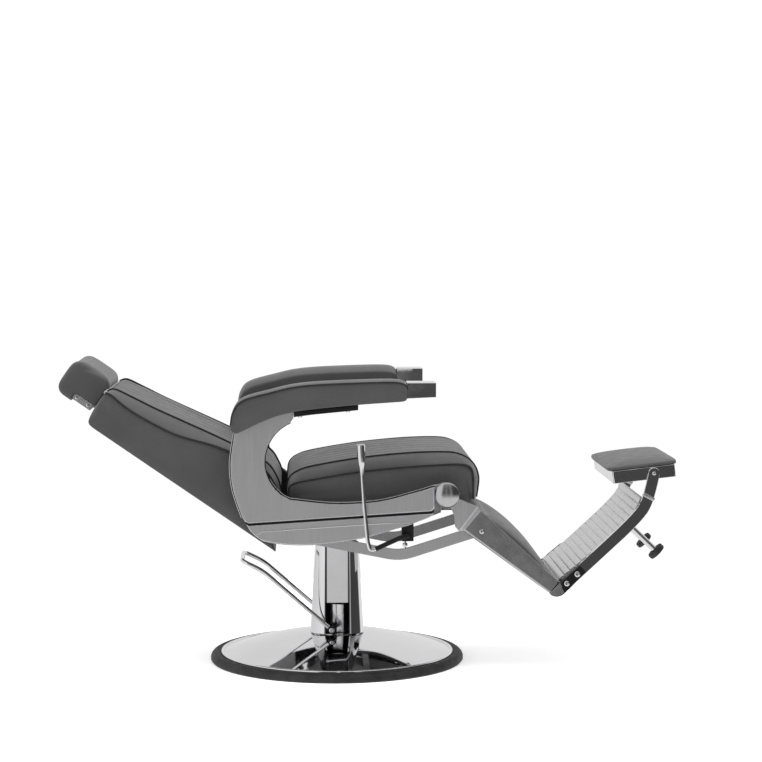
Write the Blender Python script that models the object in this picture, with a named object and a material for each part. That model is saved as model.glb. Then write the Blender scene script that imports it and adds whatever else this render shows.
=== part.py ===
"""Reclining barber chair on a round pump base.

Units are metres.  The sitter faces +X, +Z is up and -Y is the sitter's right,
called the near side.  The chair is drawn reclined and at its lowest height.
The base stands on the floor with its centre at the origin.  Everything that the
pump lifts hangs on one empty, the deck, at the top of the swivel hub, so the
heights of the chair's own outlines are measured from that deck.
"""
import math

import bmesh
import bpy
from mathutils import Matrix, Vector

for old in list(bpy.data.objects):
    bpy.data.objects.remove(old, do_unlink=True)

# Clearances
FIT = 0.0003            # between faces that touch on the real chair
RUNNING = 0.0003        # round a pin that turns
ROUND_STEPS = 24        # facets round a pin
TURN_STEPS = 48         # facets round the turned pieces of the base
DOME_STEPS = 7          # steps up the dome's cone

# Base and pump
RING_RADIUS = 0.325
RING_WIDTH = 0.0265
RING_HEIGHT = 0.023
BASE_PLATE = 0.008
DOME_WALL = 0.0025
DOME_RIM = 0.017        # height of the dome where its cone starts
DOME_RISE = 0.0555      # from there to the flat under the collar
DOME_SHOULDER = 0.006   # width of the flat under the collar that shows past it
DOME_BULGE = 0.0075     # how far the cone swells past straight
COLLAR_RADIUS = 0.070
COLLAR_HEIGHT = 0.006
COVER_BOTTOM_HALF = 0.0665
COVER_TOP_HALF = 0.0535
COVER_FLAT_HALF = 0.0265    # half of the flat strip in each side of the column
COVER_WALL = 0.0022
COVER_HEIGHT = 0.2205
NOTCH_HALF = 0.030          # opening in the column for the pedal's shaft
NOTCH_HEIGHT = 0.076
PISTON_RADIUS = 0.030
PUMP_WALL = 0.0095
PISTON_SEATED = 0.160       # length of the piston inside the pump at rest
PUMP_TOP_DROP = 0.014       # pump's top below the column's top

# Pedal
PEDAL_BACKSET = 0.0145      # pivot behind the column's centre
PEDAL_SHAFT_RADIUS = 0.007
PEDAL_EAR_RADIUS = 0.0105
PEDAL_EAR_THICK = 0.012
PEDAL_ROD_RADIUS = 0.005
PEDAL_ABOVE_COLLAR = 0.0025
PEDAL_EAR_CLEAR = 0.009         # ear's inner face clear of the column
PEDAL_BEND = 0.022              # where each bend of the rod starts, from its corner
PEDAL_RISE = (0.1735, 0.1535)   # from the pivot back and up to the bend
PEDAL_FOOT = (0.0495, 0.0250)   # from the bend on to the foot bar

# Swivel hub and seat frame
HUB_RADIUS = 0.050
HUB_SOCKET = 0.0275         # how far the piston stands in the hub
HUB_CAP = 0.032             # from the socket's end to the flange
FLANGE_RADIUS = 0.130
FLANGE_THICK = 0.008
HUB_ABOVE_COVER = 0.0055
BAR_HEIGHT = 0.040          # seat frame crossbars
BAR_WIDTH = 0.025
FRONT_BAR_X = 0.1175
REAR_BAR_X = -0.0725
BOARD_THICK = 0.012
BOARD_REAR = -0.112
BOARD_FRONT = 0.300

# Widths, from the middle of the chair outwards
SEAT_HALF = 0.250
BACK_INSET = 0.0155         # back narrower than the seat, each side
EAR_GAP = 0.008
EAR_THICK = 0.004
EAR_TO_FRAME = 0.0117
FRAME_THICK = 0.010
PANEL_THICK = 0.008
ARM_PAD_HALF = 0.044
ARM_INSET = 0.002           # pad's middle inside the panel's face
CALF_INSET = 0.045          # calf tray narrower than the seat, each side
CALF_WALL = 0.004
LINK_INSET = 0.045          # link's middle inside the calf tray's face
LINK_THICK = 0.008
FOOT_INSET = 0.021          # foot bar's face inside the calf tray's face
FOOT_BAR_THICK = 0.008
ARM_BRACKET_HALF = 0.034
ARM_CAP_HALF = 0.036

# Hinges, from the deck's middle
BACK_HINGE = (-0.185, 0.092)
LEG_HINGE = (0.267, 0.082)
BACK_PIN_RADIUS = 0.010
LEG_PIN_RADIUS = 0.009
BACK_ARM_THICK = 0.006
BACK_ARM_GRIP = 0.055           # where each hinge arm holds the back board, up its rear face
BACK_ARM_GRIP_RADIUS = 0.008
BACK_ARM_HUB = 0.022            # round ends of each hinge arm: at the pin, the link rod and the top
BACK_ARM_EYE = 0.013
BACK_ARM_TOP = (-0.050, 0.060)
BACK_ARM_TOP_RADIUS = 0.015
LINK_ROD_RADIUS = 0.005
LINK_ROD_AT = (0.030, -0.072)   # from the back hinge
LINK_FRONT_AT = (0.090, -0.102) # from the leg hinge
LINK_HALF_HEIGHT = 0.0135
LINK_SLACK = 0.004              # play of the link's rear eye on its rod
LINK_PIN_RADIUS = 0.008
LINK_KNEE = (0.095, -0.060)     # from the link rod to the link's first bend
LINK_ELBOW = (-0.202, -0.0635)  # from the link's front pin to its second bend
LINK_BEND = 0.030               # where each bend of the link starts, from its corner

# Recline strut
STRUT_Y = 0.090
STRUT_RADIUS = 0.012
STRUT_ROD_RADIUS = 0.005
STRUT_BORE_DEPTH = 0.115
STRUT_REAR = -0.100
STRUT_DROP = 0.003              # axis below the link rod, half of the rod's rise and fall
STRUT_EYE_HALF = 0.007

# Back, measured along its rear face (up) and square to it (forward)
BACK_LEAN = math.radians(55.4)  # rear face from upright
BACK_FOOT = (-0.1122, -0.1097)  # lower end of the rear face from the back hinge
BACK_BOARD = 0.018
BACK_BOARD_LENGTH = 0.5600
BACK_CUSHION_LOW = 0.074
BACK_CUSHION_PAST = 0.0055      # cushion stands past the board's top
# Front of the back cushion: share of the way up, and depth from the rear face
BACK_FRONT = ((0.000, 0.130), (0.053, 0.152), (0.153, 0.167), (0.378, 0.152), (0.582, 0.135),
              (0.745, 0.121), (0.877, 0.112), (0.973, 0.105), (1.000, 0.090))
BACK_CHANNELS = 6
BACK_PANEL = 0.82               # share of the width that is channelled
BACK_EDGE_DROP = 0.017
BACK_SIDE_DRAW = 0.006          # sides drawn in at half depth, and at mid length
BACK_BEVEL = 0.018              # chamfer on the board's upper rear edge

# Headrest, in the back's own measures
POST_HALF = 0.030
POST_THICK = 0.0177
POST_STANDOFF = 0.0005          # post clear of the back board
POST_SEATED = 0.160             # length of the post below the board's top
YOKE_HALF = 0.127
YOKE_ABOVE = 0.0165             # yoke clear of the board's top
YOKE_HEIGHT = 0.0475            # up to the tilt axis
SOCKET_WALL = 0.0025
SOCKET_LENGTH = 0.190
HEAD_HALF = 0.135
HEAD_BELOW_YOKE = 0.0070        # pad's lower edge below the yoke's
HEAD_LENGTH = 0.1095
HEAD_REAR = 0.0135
HEAD_DEPTH = 0.0990
HEAD_CORNER = 0.026
HEAD_CROWN = 0.002
HEAD_TILT = 30                  # degrees that the pad's notch leaves free behind the yoke

# Seat cushion, from the deck
SEAT_TOP = ((-0.127, 0.089), (-0.124, 0.119), (-0.105, 0.139), (-0.060, 0.153), (0.050, 0.172),
            (0.165, 0.184), (0.255, 0.188), (0.302, 0.186), (0.333, 0.167), (0.350, 0.125),
            (0.349, 0.080))
SEAT_CHANNELS = 7
SEAT_PANEL = 0.82
SEAT_EDGE_DROP = 0.027
CHANNEL_DEPTH = 0.005
SEAT_NOSE_LIFT = 0.012          # underside of the cushion rises at the front
SEAT_FRONT_TUCK = 0.014         # underside ends short of the cushion's front and rear
SEAT_REAR_TUCK = 0.006
SEAT_SIDE_DRAW = 0.010          # sides drawn in at half height, and at mid length
SEAT_WAIST_DRAW = 0.008
SEAT_CORNER_DRAW = 0.012        # front corners drawn back from the middle of the front

# Arm pads and what holds them, from the deck
ARM_TOP = ((-0.262, 0.267), (-0.256, 0.299), (-0.232, 0.327), (-0.165, 0.346), (-0.110, 0.359),
           (-0.050, 0.365), (0.050, 0.369), (0.130, 0.3705), (0.158, 0.365), (0.165, 0.355))
ARM_BOTTOM = ((-0.2615, 0.249), (-0.250, 0.2395), (-0.225, 0.2495), (-0.165, 0.2767), (-0.110, 0.2915),
              (-0.050, 0.2992), (0.050, 0.3088), (0.130, 0.3143), (0.158, 0.317), (0.165, 0.324))
ARM_SLICES = 13
ARM_EDGE_DROP = 0.013
ARM_CAP_LENGTH = 0.0695
ARM_CAP_HEIGHT = 0.039
ARM_CAP_DROP = 0.0085           # cap's top below the pad's top
BRACKET_LENGTH = 0.156
BRACKET_THICK = 0.0125

# Side frame outlines, from the deck
MOUTH_CENTRE = (-0.077, 0.168)  # round opening of the side panel's C
MOUTH_RADIUS = 0.1035
PANEL_TIP = (-0.1095, 0.2895)
FRAME_REAR = -0.252             # where the frame's rear edge meets the arm pad
REAR_EDGE = ((-0.2560, 0.2190), (-0.2630, 0.162), (-0.259, 0.110), (-0.249, 0.072), (-0.234, 0.030))
RAIL_TOP = ((-0.022, 0.064), (0.055, 0.065), (0.114, 0.072), (0.191, 0.092), (0.234, 0.105))
SHADOW_GAP = 0.006              # between the side panel and the skirt
PANEL_FOOT = ((-0.219, 0.017), (0.226, 0.045))
NOSE_CENTRE = (0.262, 0.081)
NOSE_RADIUS = 0.0325
SKIRT_EDGE = ((0.250, 0.041), (0.183, 0.015), (0.114, -0.006), (0.059, -0.021), (-0.003, -0.031),
              (-0.066, -0.037), (-0.128, -0.036), (-0.186, -0.026), (-0.217, 0.000))

# Recline lever, from the deck
LEVER_PIVOT = (0.168, -0.0145)
LEVER_ROD_RADIUS = 0.005
LEVER_BLOCK = (0.029, 0.028)    # length and height of the block below the frame
LEVER_CLEAR = 0.0065            # rod's side clear of the skirt
LEVER_POINTS = ((0.1530, -0.0165), (0.0770, -0.0510), (0.0700, -0.0270), (0.0605, 0.073), (0.0570, 0.128))
LEVER_BEND = 0.0095             # where each bend of the rod starts, from its corner
LEVER_GRIP = (0.0530, 0.211)
LEVER_GRIP_SCALE = 2.1

# Leg rest, from the leg hinge
EAR_HEAD_RADIUS = 0.020
EAR_OUTLINE = ((0.030, -0.011), (0.073, -0.030), (0.028, -0.089), (0.019, -0.079), (0.018, -0.055),
               (0.005, -0.025))
CALF_TOP_HIGH = (0.0870, -0.0470)
CALF_TOP_LOW = (0.2820, -0.2270)
CALF_FOOT_LOW = (0.2590, -0.2560)
CALF_FOOT_HIGH = (0.0447, -0.0980)
CALF_FLOOR_START = 0.060        # floor of the tray starts below the links
CALF_PAD_START = 0.030
CALF_PAD_END = 0.252
CALF_PAD_DEPTH = 0.024
CALF_CROWN = 0.017
ANKLE_OUTLINE = ((0.2625, -0.2600), (0.2670, -0.2628), (0.2725, -0.2643), (0.2785, -0.2647), (0.2845, -0.2638),
                 (0.2905, -0.2616), (0.2960, -0.2581), (0.3510, -0.2020), (0.3344, -0.1857), (0.2875, -0.2290))
FOOT_BAR_LINE = ((0.3080, -0.2300), (0.3510, -0.1915), (0.4410, -0.1080), (0.4870, -0.0600),
                 (0.5040, -0.0320), (0.5150, 0.0050))
FOOT_HINGE = (0.523, 0.042)
FOOT_BAR_HALF = 0.0145
TREAD_LINE = ((0.2855, -0.2270), (0.3393, -0.1829), (0.4113, -0.1199), (0.4728, -0.0575), (0.4890, -0.0265))
TREAD_THICK = 0.006
TREAD_RIBS = 16
TREAD_RIB_HEIGHT = 0.0025
FLOOR_LEG_AT = 0.224            # along the tread
FLOOR_LEG_Y = 0.100
FLOOR_LEG_RADIUS = 0.008
FLOOR_LEG_LENGTH = 0.112
FLOOR_FOOT_RADIUS = 0.0225
FLOOR_FOOT_THICK = 0.013

# Footrest tray, from the foot hinge
TRAY_SLOPE = math.radians(6.5)
TRAY_REACH_BACK = 0.103
TRAY_REACH_FRONT = 0.055
TRAY_TOP = 0.0155               # tray's top above the hinge
TRAY_HEIGHT = 0.0310
TRAY_WALL = 0.003
TRAY_PLAY = 0.0005              # between the tray and each foot bar
FOOT_PAD_THICK = 0.011
FOOT_PAD_CROWN = 0.008

# Worked out from the sizes above
BACK_HALF = SEAT_HALF - BACK_INSET
EAR_MIDDLE = SEAT_HALF + EAR_GAP + EAR_THICK / 2
FRAME_IN = SEAT_HALF + EAR_GAP + EAR_THICK + EAR_TO_FRAME
FRAME_OUT = FRAME_IN + FRAME_THICK
PANEL_OUT = FRAME_OUT + FIT + PANEL_THICK
ARM_MIDDLE = PANEL_OUT - ARM_INSET
CALF_HALF = SEAT_HALF - CALF_INSET
LINK_MIDDLE = CALF_HALF - LINK_INSET
FOOT_OUT = CALF_HALF - FOOT_INSET
FOOT_IN = FOOT_OUT - FOOT_BAR_THICK
DOME_RADIUS = RING_RADIUS - RING_WIDTH - FIT
DOME_TOP = DOME_RIM + DOME_RISE
COLLAR_LOW = DOME_TOP + FIT
COLLAR_TOP = COLLAR_LOW + COLLAR_HEIGHT
COVER_LOW = COLLAR_TOP + FIT
COVER_TOP = COVER_LOW + COVER_HEIGHT
PUMP_RADIUS = PISTON_RADIUS + FIT + PUMP_WALL
PUMP_LOW = BASE_PLATE + FIT
PUMP_TOP = COVER_TOP - PUMP_TOP_DROP
PISTON_LOW = PUMP_TOP - PISTON_SEATED
HUB_LOW = COVER_TOP + HUB_ABOVE_COVER
PISTON_TOP = HUB_LOW + HUB_SOCKET
FLANGE_LOW = PISTON_TOP + HUB_CAP
DECK = FLANGE_LOW + FLANGE_THICK
BAR_LOW = FIT
BAR_TOP = BAR_LOW + BAR_HEIGHT
BOARD_LOW = BAR_TOP + FIT
BOARD_TOP = BOARD_LOW + BOARD_THICK
SEAT_LOW = BOARD_TOP + FIT
PEDAL_PIVOT_Z = COLLAR_TOP + PEDAL_SHAFT_RADIUS + PEDAL_ABOVE_COLLAR
POST_REAR = BACK_BOARD + POST_STANDOFF
POST_LOW = BACK_BOARD_LENGTH - POST_SEATED
YOKE_LOW = BACK_BOARD_LENGTH + YOKE_ABOVE
TILT_AT = YOKE_LOW + YOKE_HEIGHT
HEAD_LOW = YOKE_LOW - HEAD_BELOW_YOKE
BACK_CUSHION_LENGTH = BACK_BOARD_LENGTH + BACK_CUSHION_PAST - BACK_CUSHION_LOW
POST_MIDDLE = POST_REAR + POST_THICK / 2
TRAY_HALF = FOOT_IN - TRAY_PLAY
SIDES = (("near", -1), ("far", 1))


# Finishes
def finish(name, colour, roughness, metallic):
    """Plain material with the piece's colour, roughness and metal value."""
    made = bpy.data.materials.new(name)
    made.use_nodes = True
    shader = made.node_tree.nodes["Principled BSDF"]
    shader.inputs["Base Color"].default_value = (*colour, 1.0)
    shader.inputs["Roughness"].default_value = roughness
    shader.inputs["Metallic"].default_value = metallic
    return made


CHROME = finish("chrome", (0.80, 0.80, 0.82), 0.06, 1.0)
SATIN = finish("satin_aluminium", (0.55, 0.55, 0.56), 0.38, 1.0)
POLISHED = finish("polished_aluminium", (0.68, 0.68, 0.69), 0.18, 1.0)
STEEL = finish("dark_steel", (0.18, 0.18, 0.19), 0.35, 1.0)
BLACK = finish("black_paint", (0.02, 0.02, 0.02), 0.45, 0.0)
RUBBER = finish("black_rubber", (0.03, 0.03, 0.03), 0.75, 0.0)
VINYL = finish("grey_vinyl", (0.085, 0.085, 0.088), 0.55, 0.0)
PLYWOOD = finish("plywood", (0.42, 0.30, 0.18), 0.70, 0.0)


# Points and outlines
def spline(points, share):
    """Point at a share (0 to 1) of a smooth curve through the given points."""
    last = len(points) - 1
    place = min(max(share, 0.0), 1.0) * last
    start = min(int(place), last - 1)
    t = place - start
    four = [Vector(points[min(max(start + k, 0), last)]) for k in (-1, 0, 1, 2)]
    slope_in = (four[2] - four[0]) / 2
    slope_out = (four[3] - four[1]) / 2
    rise = four[2] - four[1]
    return (four[1] + slope_in * t + (3 * rise - 2 * slope_in - slope_out) * t ** 2
            + (slope_in + slope_out - 2 * rise) * t ** 3)


def smooth(points, steps):
    """The same curve as a list of points, with so many steps between two given ones."""
    count = steps * (len(points) - 1)
    return [tuple(spline(points, k / count)) for k in range(count + 1)]


def arc(centre, radius, start, end, steps):
    """Points of an arc from one angle to another, in degrees."""
    turns = [math.radians(start + (end - start) * k / steps) for k in range(steps + 1)]
    return [(centre[0] + radius * math.cos(a), centre[1] + radius * math.sin(a)) for a in turns]


def around(discs, steps=ROUND_STEPS):
    """Taut outline round discs given as (x, z, radius)."""
    points = sorted({p for x, z, r in discs for p in arc((x, z), r, 0, 360 - 360 / steps, steps - 1)})

    def half(ordered):
        kept = []
        for p in ordered:
            while len(kept) > 1 and ((kept[-1][0] - kept[-2][0]) * (p[1] - kept[-2][1])
                                     <= (kept[-1][1] - kept[-2][1]) * (p[0] - kept[-2][0])):
                kept.pop()
            kept.append(p)
        return kept[:-1]

    return half(points) + half(points[::-1])


def strip(line, half_width, round_end_steps=8):
    """Outline of a flat bar that follows a line and has round ends."""
    points = [Vector(p) for p in line]
    runs = [(b - a).normalized() for a, b in zip(points, points[1:])]
    left = []
    right = []
    for k, p in enumerate(points):
        before = runs[max(k - 1, 0)]
        after = runs[min(k, len(runs) - 1)]
        middle = (before + after).normalized()
        side = Vector((-middle.y, middle.x)) * (half_width / middle.dot(after))
        left.append(p + side)
        right.append(p - side)

    def cap(centre, run):
        base = math.degrees(math.atan2(run.y, run.x))
        return arc(centre, half_width, base + 90, base - 90, round_end_steps)[1:-1]

    outline = left + [Vector(p) for p in cap(points[-1], runs[-1])] + right[::-1]
    return [tuple(p) for p in outline + [Vector(p) for p in cap(points[0], -runs[0])]]


def moved(points, offset):
    """Flat points shifted by an offset."""
    return [(p[0] + offset[0], p[1] + offset[1]) for p in points]


def eased(points, reach, steps=4):
    """A route with each corner replaced by a short curve that starts so far from it."""
    spots = [Vector(p) for p in points]
    route = [spots[0]]
    for before, corner, after in zip(spots, spots[1:], spots[2:]):
        start = corner + (before - corner).normalized() * reach
        end = corner + (after - corner).normalized() * reach
        for k in range(steps + 1):
            t = k / steps
            route.append(start * (1 - t) ** 2 + corner * 2 * t * (1 - t) + end * t ** 2)
    return route + [spots[-1]]


# Solids
def empty(name, location, parent=None, turn=0.0):
    """Holder at a joint; turn is about Y."""
    holder = bpy.data.objects.new(name, None)
    holder.location = location
    holder.rotation_euler = (0, turn, 0)
    holder.parent = parent
    bpy.context.collection.objects.link(holder)
    return holder


def add(name, shape, material, parent=None, crease=30):
    """Make a named object from a bmesh, smooth where its faces meet under the crease angle."""
    bmesh.ops.recalc_face_normals(shape, faces=shape.faces)
    mesh = bpy.data.meshes.new(name)
    shape.to_mesh(mesh)
    shape.free()
    if material:
        mesh.materials.append(material)
    mesh.shade_smooth()
    mesh.set_sharp_from_angle(angle=math.radians(crease))
    made = bpy.data.objects.new(name, mesh)
    made.parent = parent
    bpy.context.collection.objects.link(made)
    return made


def carve(target, name, shape, operation="DIFFERENCE"):
    """Cut a bmesh out of an object, or join it on."""
    tool = add(name, shape, None, target.parent)
    tool.hide_render = True
    tool.display_type = "WIRE"
    cut = target.modifiers.new(name, "BOOLEAN")
    cut.object = tool
    cut.operation = operation


def plate(outline, low, high):
    """Flat (x, z) outline thickened from one Y to another."""
    shape = bmesh.new()
    face = shape.faces.new([shape.verts.new((x, low, z)) for x, z in outline])
    grown = bmesh.ops.extrude_face_region(shape, geom=[face])["geom"]
    bmesh.ops.translate(shape, verts=[v for v in grown if isinstance(v, bmesh.types.BMVert)],
                        vec=(0, high - low, 0))
    return shape


def side_plate(outline, side, inner, outer):
    """The same, between two distances from the chair's middle plane."""
    return plate(outline, side * inner, side * outer)


def box(low, high):
    """Block between two corners."""
    outline = [(low[0], low[2]), (high[0], low[2]), (high[0], high[2]), (low[0], high[2])]
    return plate(outline, low[1], high[1])


def turned(profile, segments=TURN_STEPS, closed=True):
    """Outline of (radius, height) points spun about +Z; an open one starts and ends on the axis."""
    shape = bmesh.new()
    ring = [shape.verts.new((r, 0, z)) for r, z in profile]
    pairs = list(zip(ring, ring[1:]))
    if closed:
        pairs.append((ring[-1], ring[0]))
    edges = [shape.edges.new(pair) for pair in pairs]
    bmesh.ops.spin(shape, geom=ring + edges, axis=(0, 0, 1), cent=(0, 0, 0), angle=math.tau,
                   steps=segments, use_merge=True)
    bmesh.ops.remove_doubles(shape, verts=shape.verts, dist=1e-6)
    return shape


def rod(start, end, radius, segments=ROUND_STEPS):
    """Round bar from one point to another."""
    start = Vector(start)
    run = Vector(end) - start
    place = Matrix.Translation(start + run / 2) @ run.to_track_quat("Z", "Y").to_matrix().to_4x4()
    shape = bmesh.new()
    bmesh.ops.create_cone(shape, cap_ends=True, segments=segments, radius1=radius, radius2=radius,
                          depth=run.length, matrix=place)
    return shape


def cross_rod(at, inner, outer, radius, segments=ROUND_STEPS):
    """Round bar along Y through a flat (x, z) point."""
    return rod((at[0], inner, at[1]), (at[0], outer, at[1]), radius, segments)


def bent_rod(name, route, radius, material, parent, scales=None):
    """Round bar along a route of points; scales gives its thickness at each point."""
    curve = bpy.data.curves.new(name, "CURVE")
    curve.dimensions = "3D"
    curve.bevel_depth = radius
    curve.bevel_resolution = 2
    curve.use_fill_caps = True
    track = curve.splines.new("POLY")
    track.points.add(len(route) - 1)
    for k, spot in enumerate(route):
        track.points[k].co = (*spot, 1)
        track.points[k].radius = scales[k] if scales else 1.0
    curve.materials.append(material)
    made = bpy.data.objects.new(name, curve)
    made.parent = parent
    bpy.context.collection.objects.link(made)
    return made


def upholster(cuts_along, cuts_across, cuts_high, place):
    """Block sliced at the given shares and shaped by place(along, across, high).

    Along and high run from 0 to 1 and across from -1 to 1.
    """
    shape = bmesh.new()
    bmesh.ops.create_cube(shape, size=1, matrix=Matrix.Translation((0.5, 0, 0.5)))
    bmesh.ops.scale(shape, verts=shape.verts, vec=(1, 2, 1))
    for axis, cuts in enumerate((cuts_along, cuts_across, cuts_high)):
        normal = Vector((0, 0, 0))
        normal[axis] = 1
        for share in cuts:
            everything = shape.verts[:] + shape.edges[:] + shape.faces[:]
            bmesh.ops.bisect_plane(shape, geom=everything, plane_co=normal * share, plane_no=normal)
    for corner in shape.verts:
        corner.co = place(*corner.co)
    return shape


def channel_cuts(channels, panel):
    """Slices across a channelled cushion: each sewn line, each crown and the edge rolls."""
    lines = [panel * (k / channels - 1) for k in range(2 * channels + 1)]
    return lines + [-(1 + panel) / 2, (1 + panel) / 2]


def channel_dip(across, channels, panel):
    """How deep a sewn channel is there, from 0 on a crown to 1 on a sewn line."""
    if abs(across) > panel + 1e-6:
        return 0.0
    lane = (across / panel + 1) / 2 * channels
    return 1 - abs(math.sin(math.pi * lane))


def edge_roll(across, panel):
    """How far the edge roll has fallen there, from 0 at the panel to 1 at the side."""
    return max(0.0, (abs(across) - panel) / (1 - panel)) ** 1.5


# Holders for what moves
piston_joint = empty("piston_joint", (0, 0, PISTON_LOW))
deck = empty("deck", (0, 0, DECK), None)
pedal_joint = empty("pedal_joint", (-PEDAL_BACKSET, 0, PEDAL_PIVOT_Z))
back_joint = empty("back_joint", (BACK_HINGE[0], 0, BACK_HINGE[1]), deck)
back_face = empty("back_face", (0, 0, 0), back_joint, -BACK_LEAN)
leg_joint = empty("leg_joint", (LEG_HINGE[0], 0, LEG_HINGE[1]), deck)
link_joint = empty("link_joint", (LINK_FRONT_AT[0], 0, LINK_FRONT_AT[1]), leg_joint)
foot_joint = empty("foot_joint", (FOOT_HINGE[0], 0, FOOT_HINGE[1]), leg_joint, -TRAY_SLOPE)
lever_joint = empty("lever_joint", (LEVER_PIVOT[0], 0, LEVER_PIVOT[1]), deck)


def base():
    """Rubber ring, floor plate, dome, collar, column cover and pump."""
    ring_in = RING_RADIUS - RING_WIDTH
    shoulder = RING_HEIGHT * 0.45
    add("floor_ring", turned([(ring_in, 0), (RING_RADIUS - 0.003, 0), (RING_RADIUS, 0.004),
                              (RING_RADIUS, shoulder), (RING_RADIUS - 0.005, RING_HEIGHT * 0.82),
                              (RING_RADIUS - 0.013, RING_HEIGHT), (ring_in, RING_HEIGHT * 0.86)]), RUBBER)
    add("base_plate", turned([(0, 0), (DOME_RADIUS, 0), (DOME_RADIUS, BASE_PLATE), (0, BASE_PLATE)],
                             closed=False), STEEL)
    dome_in = PUMP_RADIUS + FIT
    dome_low = BASE_PLATE + FIT
    reach = DOME_RADIUS - COLLAR_RADIUS - DOME_SHOULDER
    cone = [(DOME_RADIUS - reach * t, DOME_RIM + DOME_RISE * t + DOME_BULGE * 4 * t * (1 - t))
            for t in (k / DOME_STEPS for k in range(DOME_STEPS + 1))]
    outer = [(DOME_RADIUS, dome_low)] + cone + [(dome_in, DOME_TOP)]
    inner = [(max(r - DOME_WALL, dome_in), z - DOME_WALL) for r, z in outer[1:]]
    add("base_dome", turned(outer + inner[::-1] + [(DOME_RADIUS - DOME_WALL, dome_low)]), CHROME)
    add("base_collar", turned([(PUMP_RADIUS + FIT, COLLAR_LOW), (COLLAR_RADIUS, COLLAR_LOW),
                               (COLLAR_RADIUS, COLLAR_TOP), (PUMP_RADIUS + FIT, COLLAR_TOP)]), CHROME)

    def rounded_square(half, inset, z):
        corner = half - COVER_FLAT_HALF - inset
        points = []
        for quarter in range(4):
            turn = 90 * quarter
            swing = Matrix.Rotation(math.radians(turn), 2)
            middle = swing @ Vector((COVER_FLAT_HALF, COVER_FLAT_HALF))
            points += arc(middle, corner, turn, turn + 90, 5)
        return [(x, y, z) for x, y in points]

    loops = [rounded_square(COVER_BOTTOM_HALF, 0, COVER_LOW), rounded_square(COVER_TOP_HALF, 0, COVER_TOP),
             rounded_square(COVER_TOP_HALF, COVER_WALL, COVER_TOP),
             rounded_square(COVER_BOTTOM_HALF, COVER_WALL, COVER_LOW)]
    shape = bmesh.new()
    rings = [[shape.verts.new(p) for p in loop] for loop in loops]
    for lower, upper in zip(rings, rings[1:] + rings[:1]):
        for k in range(len(lower)):
            shape.faces.new((lower[k - 1], lower[k], upper[k], upper[k - 1]))
    cover = add("column_cover", shape, CHROME)
    reach = COVER_BOTTOM_HALF + 0.02
    carve(cover, "notch_cutter", box((-NOTCH_HALF, -reach, COVER_LOW - 0.01),
                                     (NOTCH_HALF, reach, COVER_LOW + NOTCH_HEIGHT)))

    bore = PISTON_RADIUS + FIT
    bore_low = PISTON_LOW - 0.003
    pump = add("pump_body", turned([(0, PUMP_LOW), (PUMP_RADIUS, PUMP_LOW), (PUMP_RADIUS, PUMP_TOP),
                                    (bore, PUMP_TOP), (bore, bore_low), (0, bore_low)], closed=False), CHROME)
    carve(pump, "pedal_shaft_cutter", cross_rod((-PEDAL_BACKSET, PEDAL_PIVOT_Z), -2 * PUMP_RADIUS,
                                                2 * PUMP_RADIUS, PEDAL_SHAFT_RADIUS + RUNNING))


def pedal():
    """Shaft through the pump's foot with a clamp ear at each end, and the bent pedal rod."""
    ear_in = COVER_BOTTOM_HALF + PEDAL_EAR_CLEAR
    ear_out = ear_in + PEDAL_EAR_THICK
    shaft = turned([(0, -ear_out), (PEDAL_EAR_RADIUS, -ear_out), (PEDAL_EAR_RADIUS, -ear_in),
                    (PEDAL_SHAFT_RADIUS, -ear_in), (PEDAL_SHAFT_RADIUS, ear_in), (PEDAL_EAR_RADIUS, ear_in),
                    (PEDAL_EAR_RADIUS, ear_out), (0, ear_out)], ROUND_STEPS, closed=False)
    bmesh.ops.rotate(shaft, verts=shaft.verts, cent=(0, 0, 0), matrix=Matrix.Rotation(math.pi / 2, 3, "X"))
    add("pedal_shaft", shaft, BLACK, pedal_joint)
    arm_y = (ear_in + ear_out) / 2
    rise = Vector((-PEDAL_RISE[0], 0, PEDAL_RISE[1]))
    start = rise.normalized() * (PEDAL_EAR_RADIUS + FIT)
    foot = rise + Vector((-PEDAL_FOOT[0], 0, PEDAL_FOOT[1]))
    near = [Vector((0, -arm_y, 0)) + p for p in (start, rise, foot)]
    far = [Vector((0, arm_y, 0)) + p for p in (foot, rise, start)]
    bent_rod("pedal_lever", eased(near + far, PEDAL_BEND, 5), PEDAL_ROD_RADIUS, CHROME, pedal_joint)


def lift():
    """Pump piston and the hub that turns on it."""
    add("lift_piston", rod((0, 0, 0), (0, 0, PISTON_TOP - PISTON_LOW), PISTON_RADIUS, TURN_STEPS), CHROME, piston_joint)
    socket = PISTON_RADIUS + FIT
    low = HUB_LOW - DECK
    flange = FLANGE_LOW - DECK
    socket_end = PISTON_TOP - DECK + FIT
    add("swivel_hub", turned([(0, socket_end), (socket, socket_end), (socket, low), (HUB_RADIUS, low),
                              (HUB_RADIUS, flange), (FLANGE_RADIUS, flange), (FLANGE_RADIUS, 0), (0, 0)],
                             closed=False), STEEL, deck)


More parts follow.
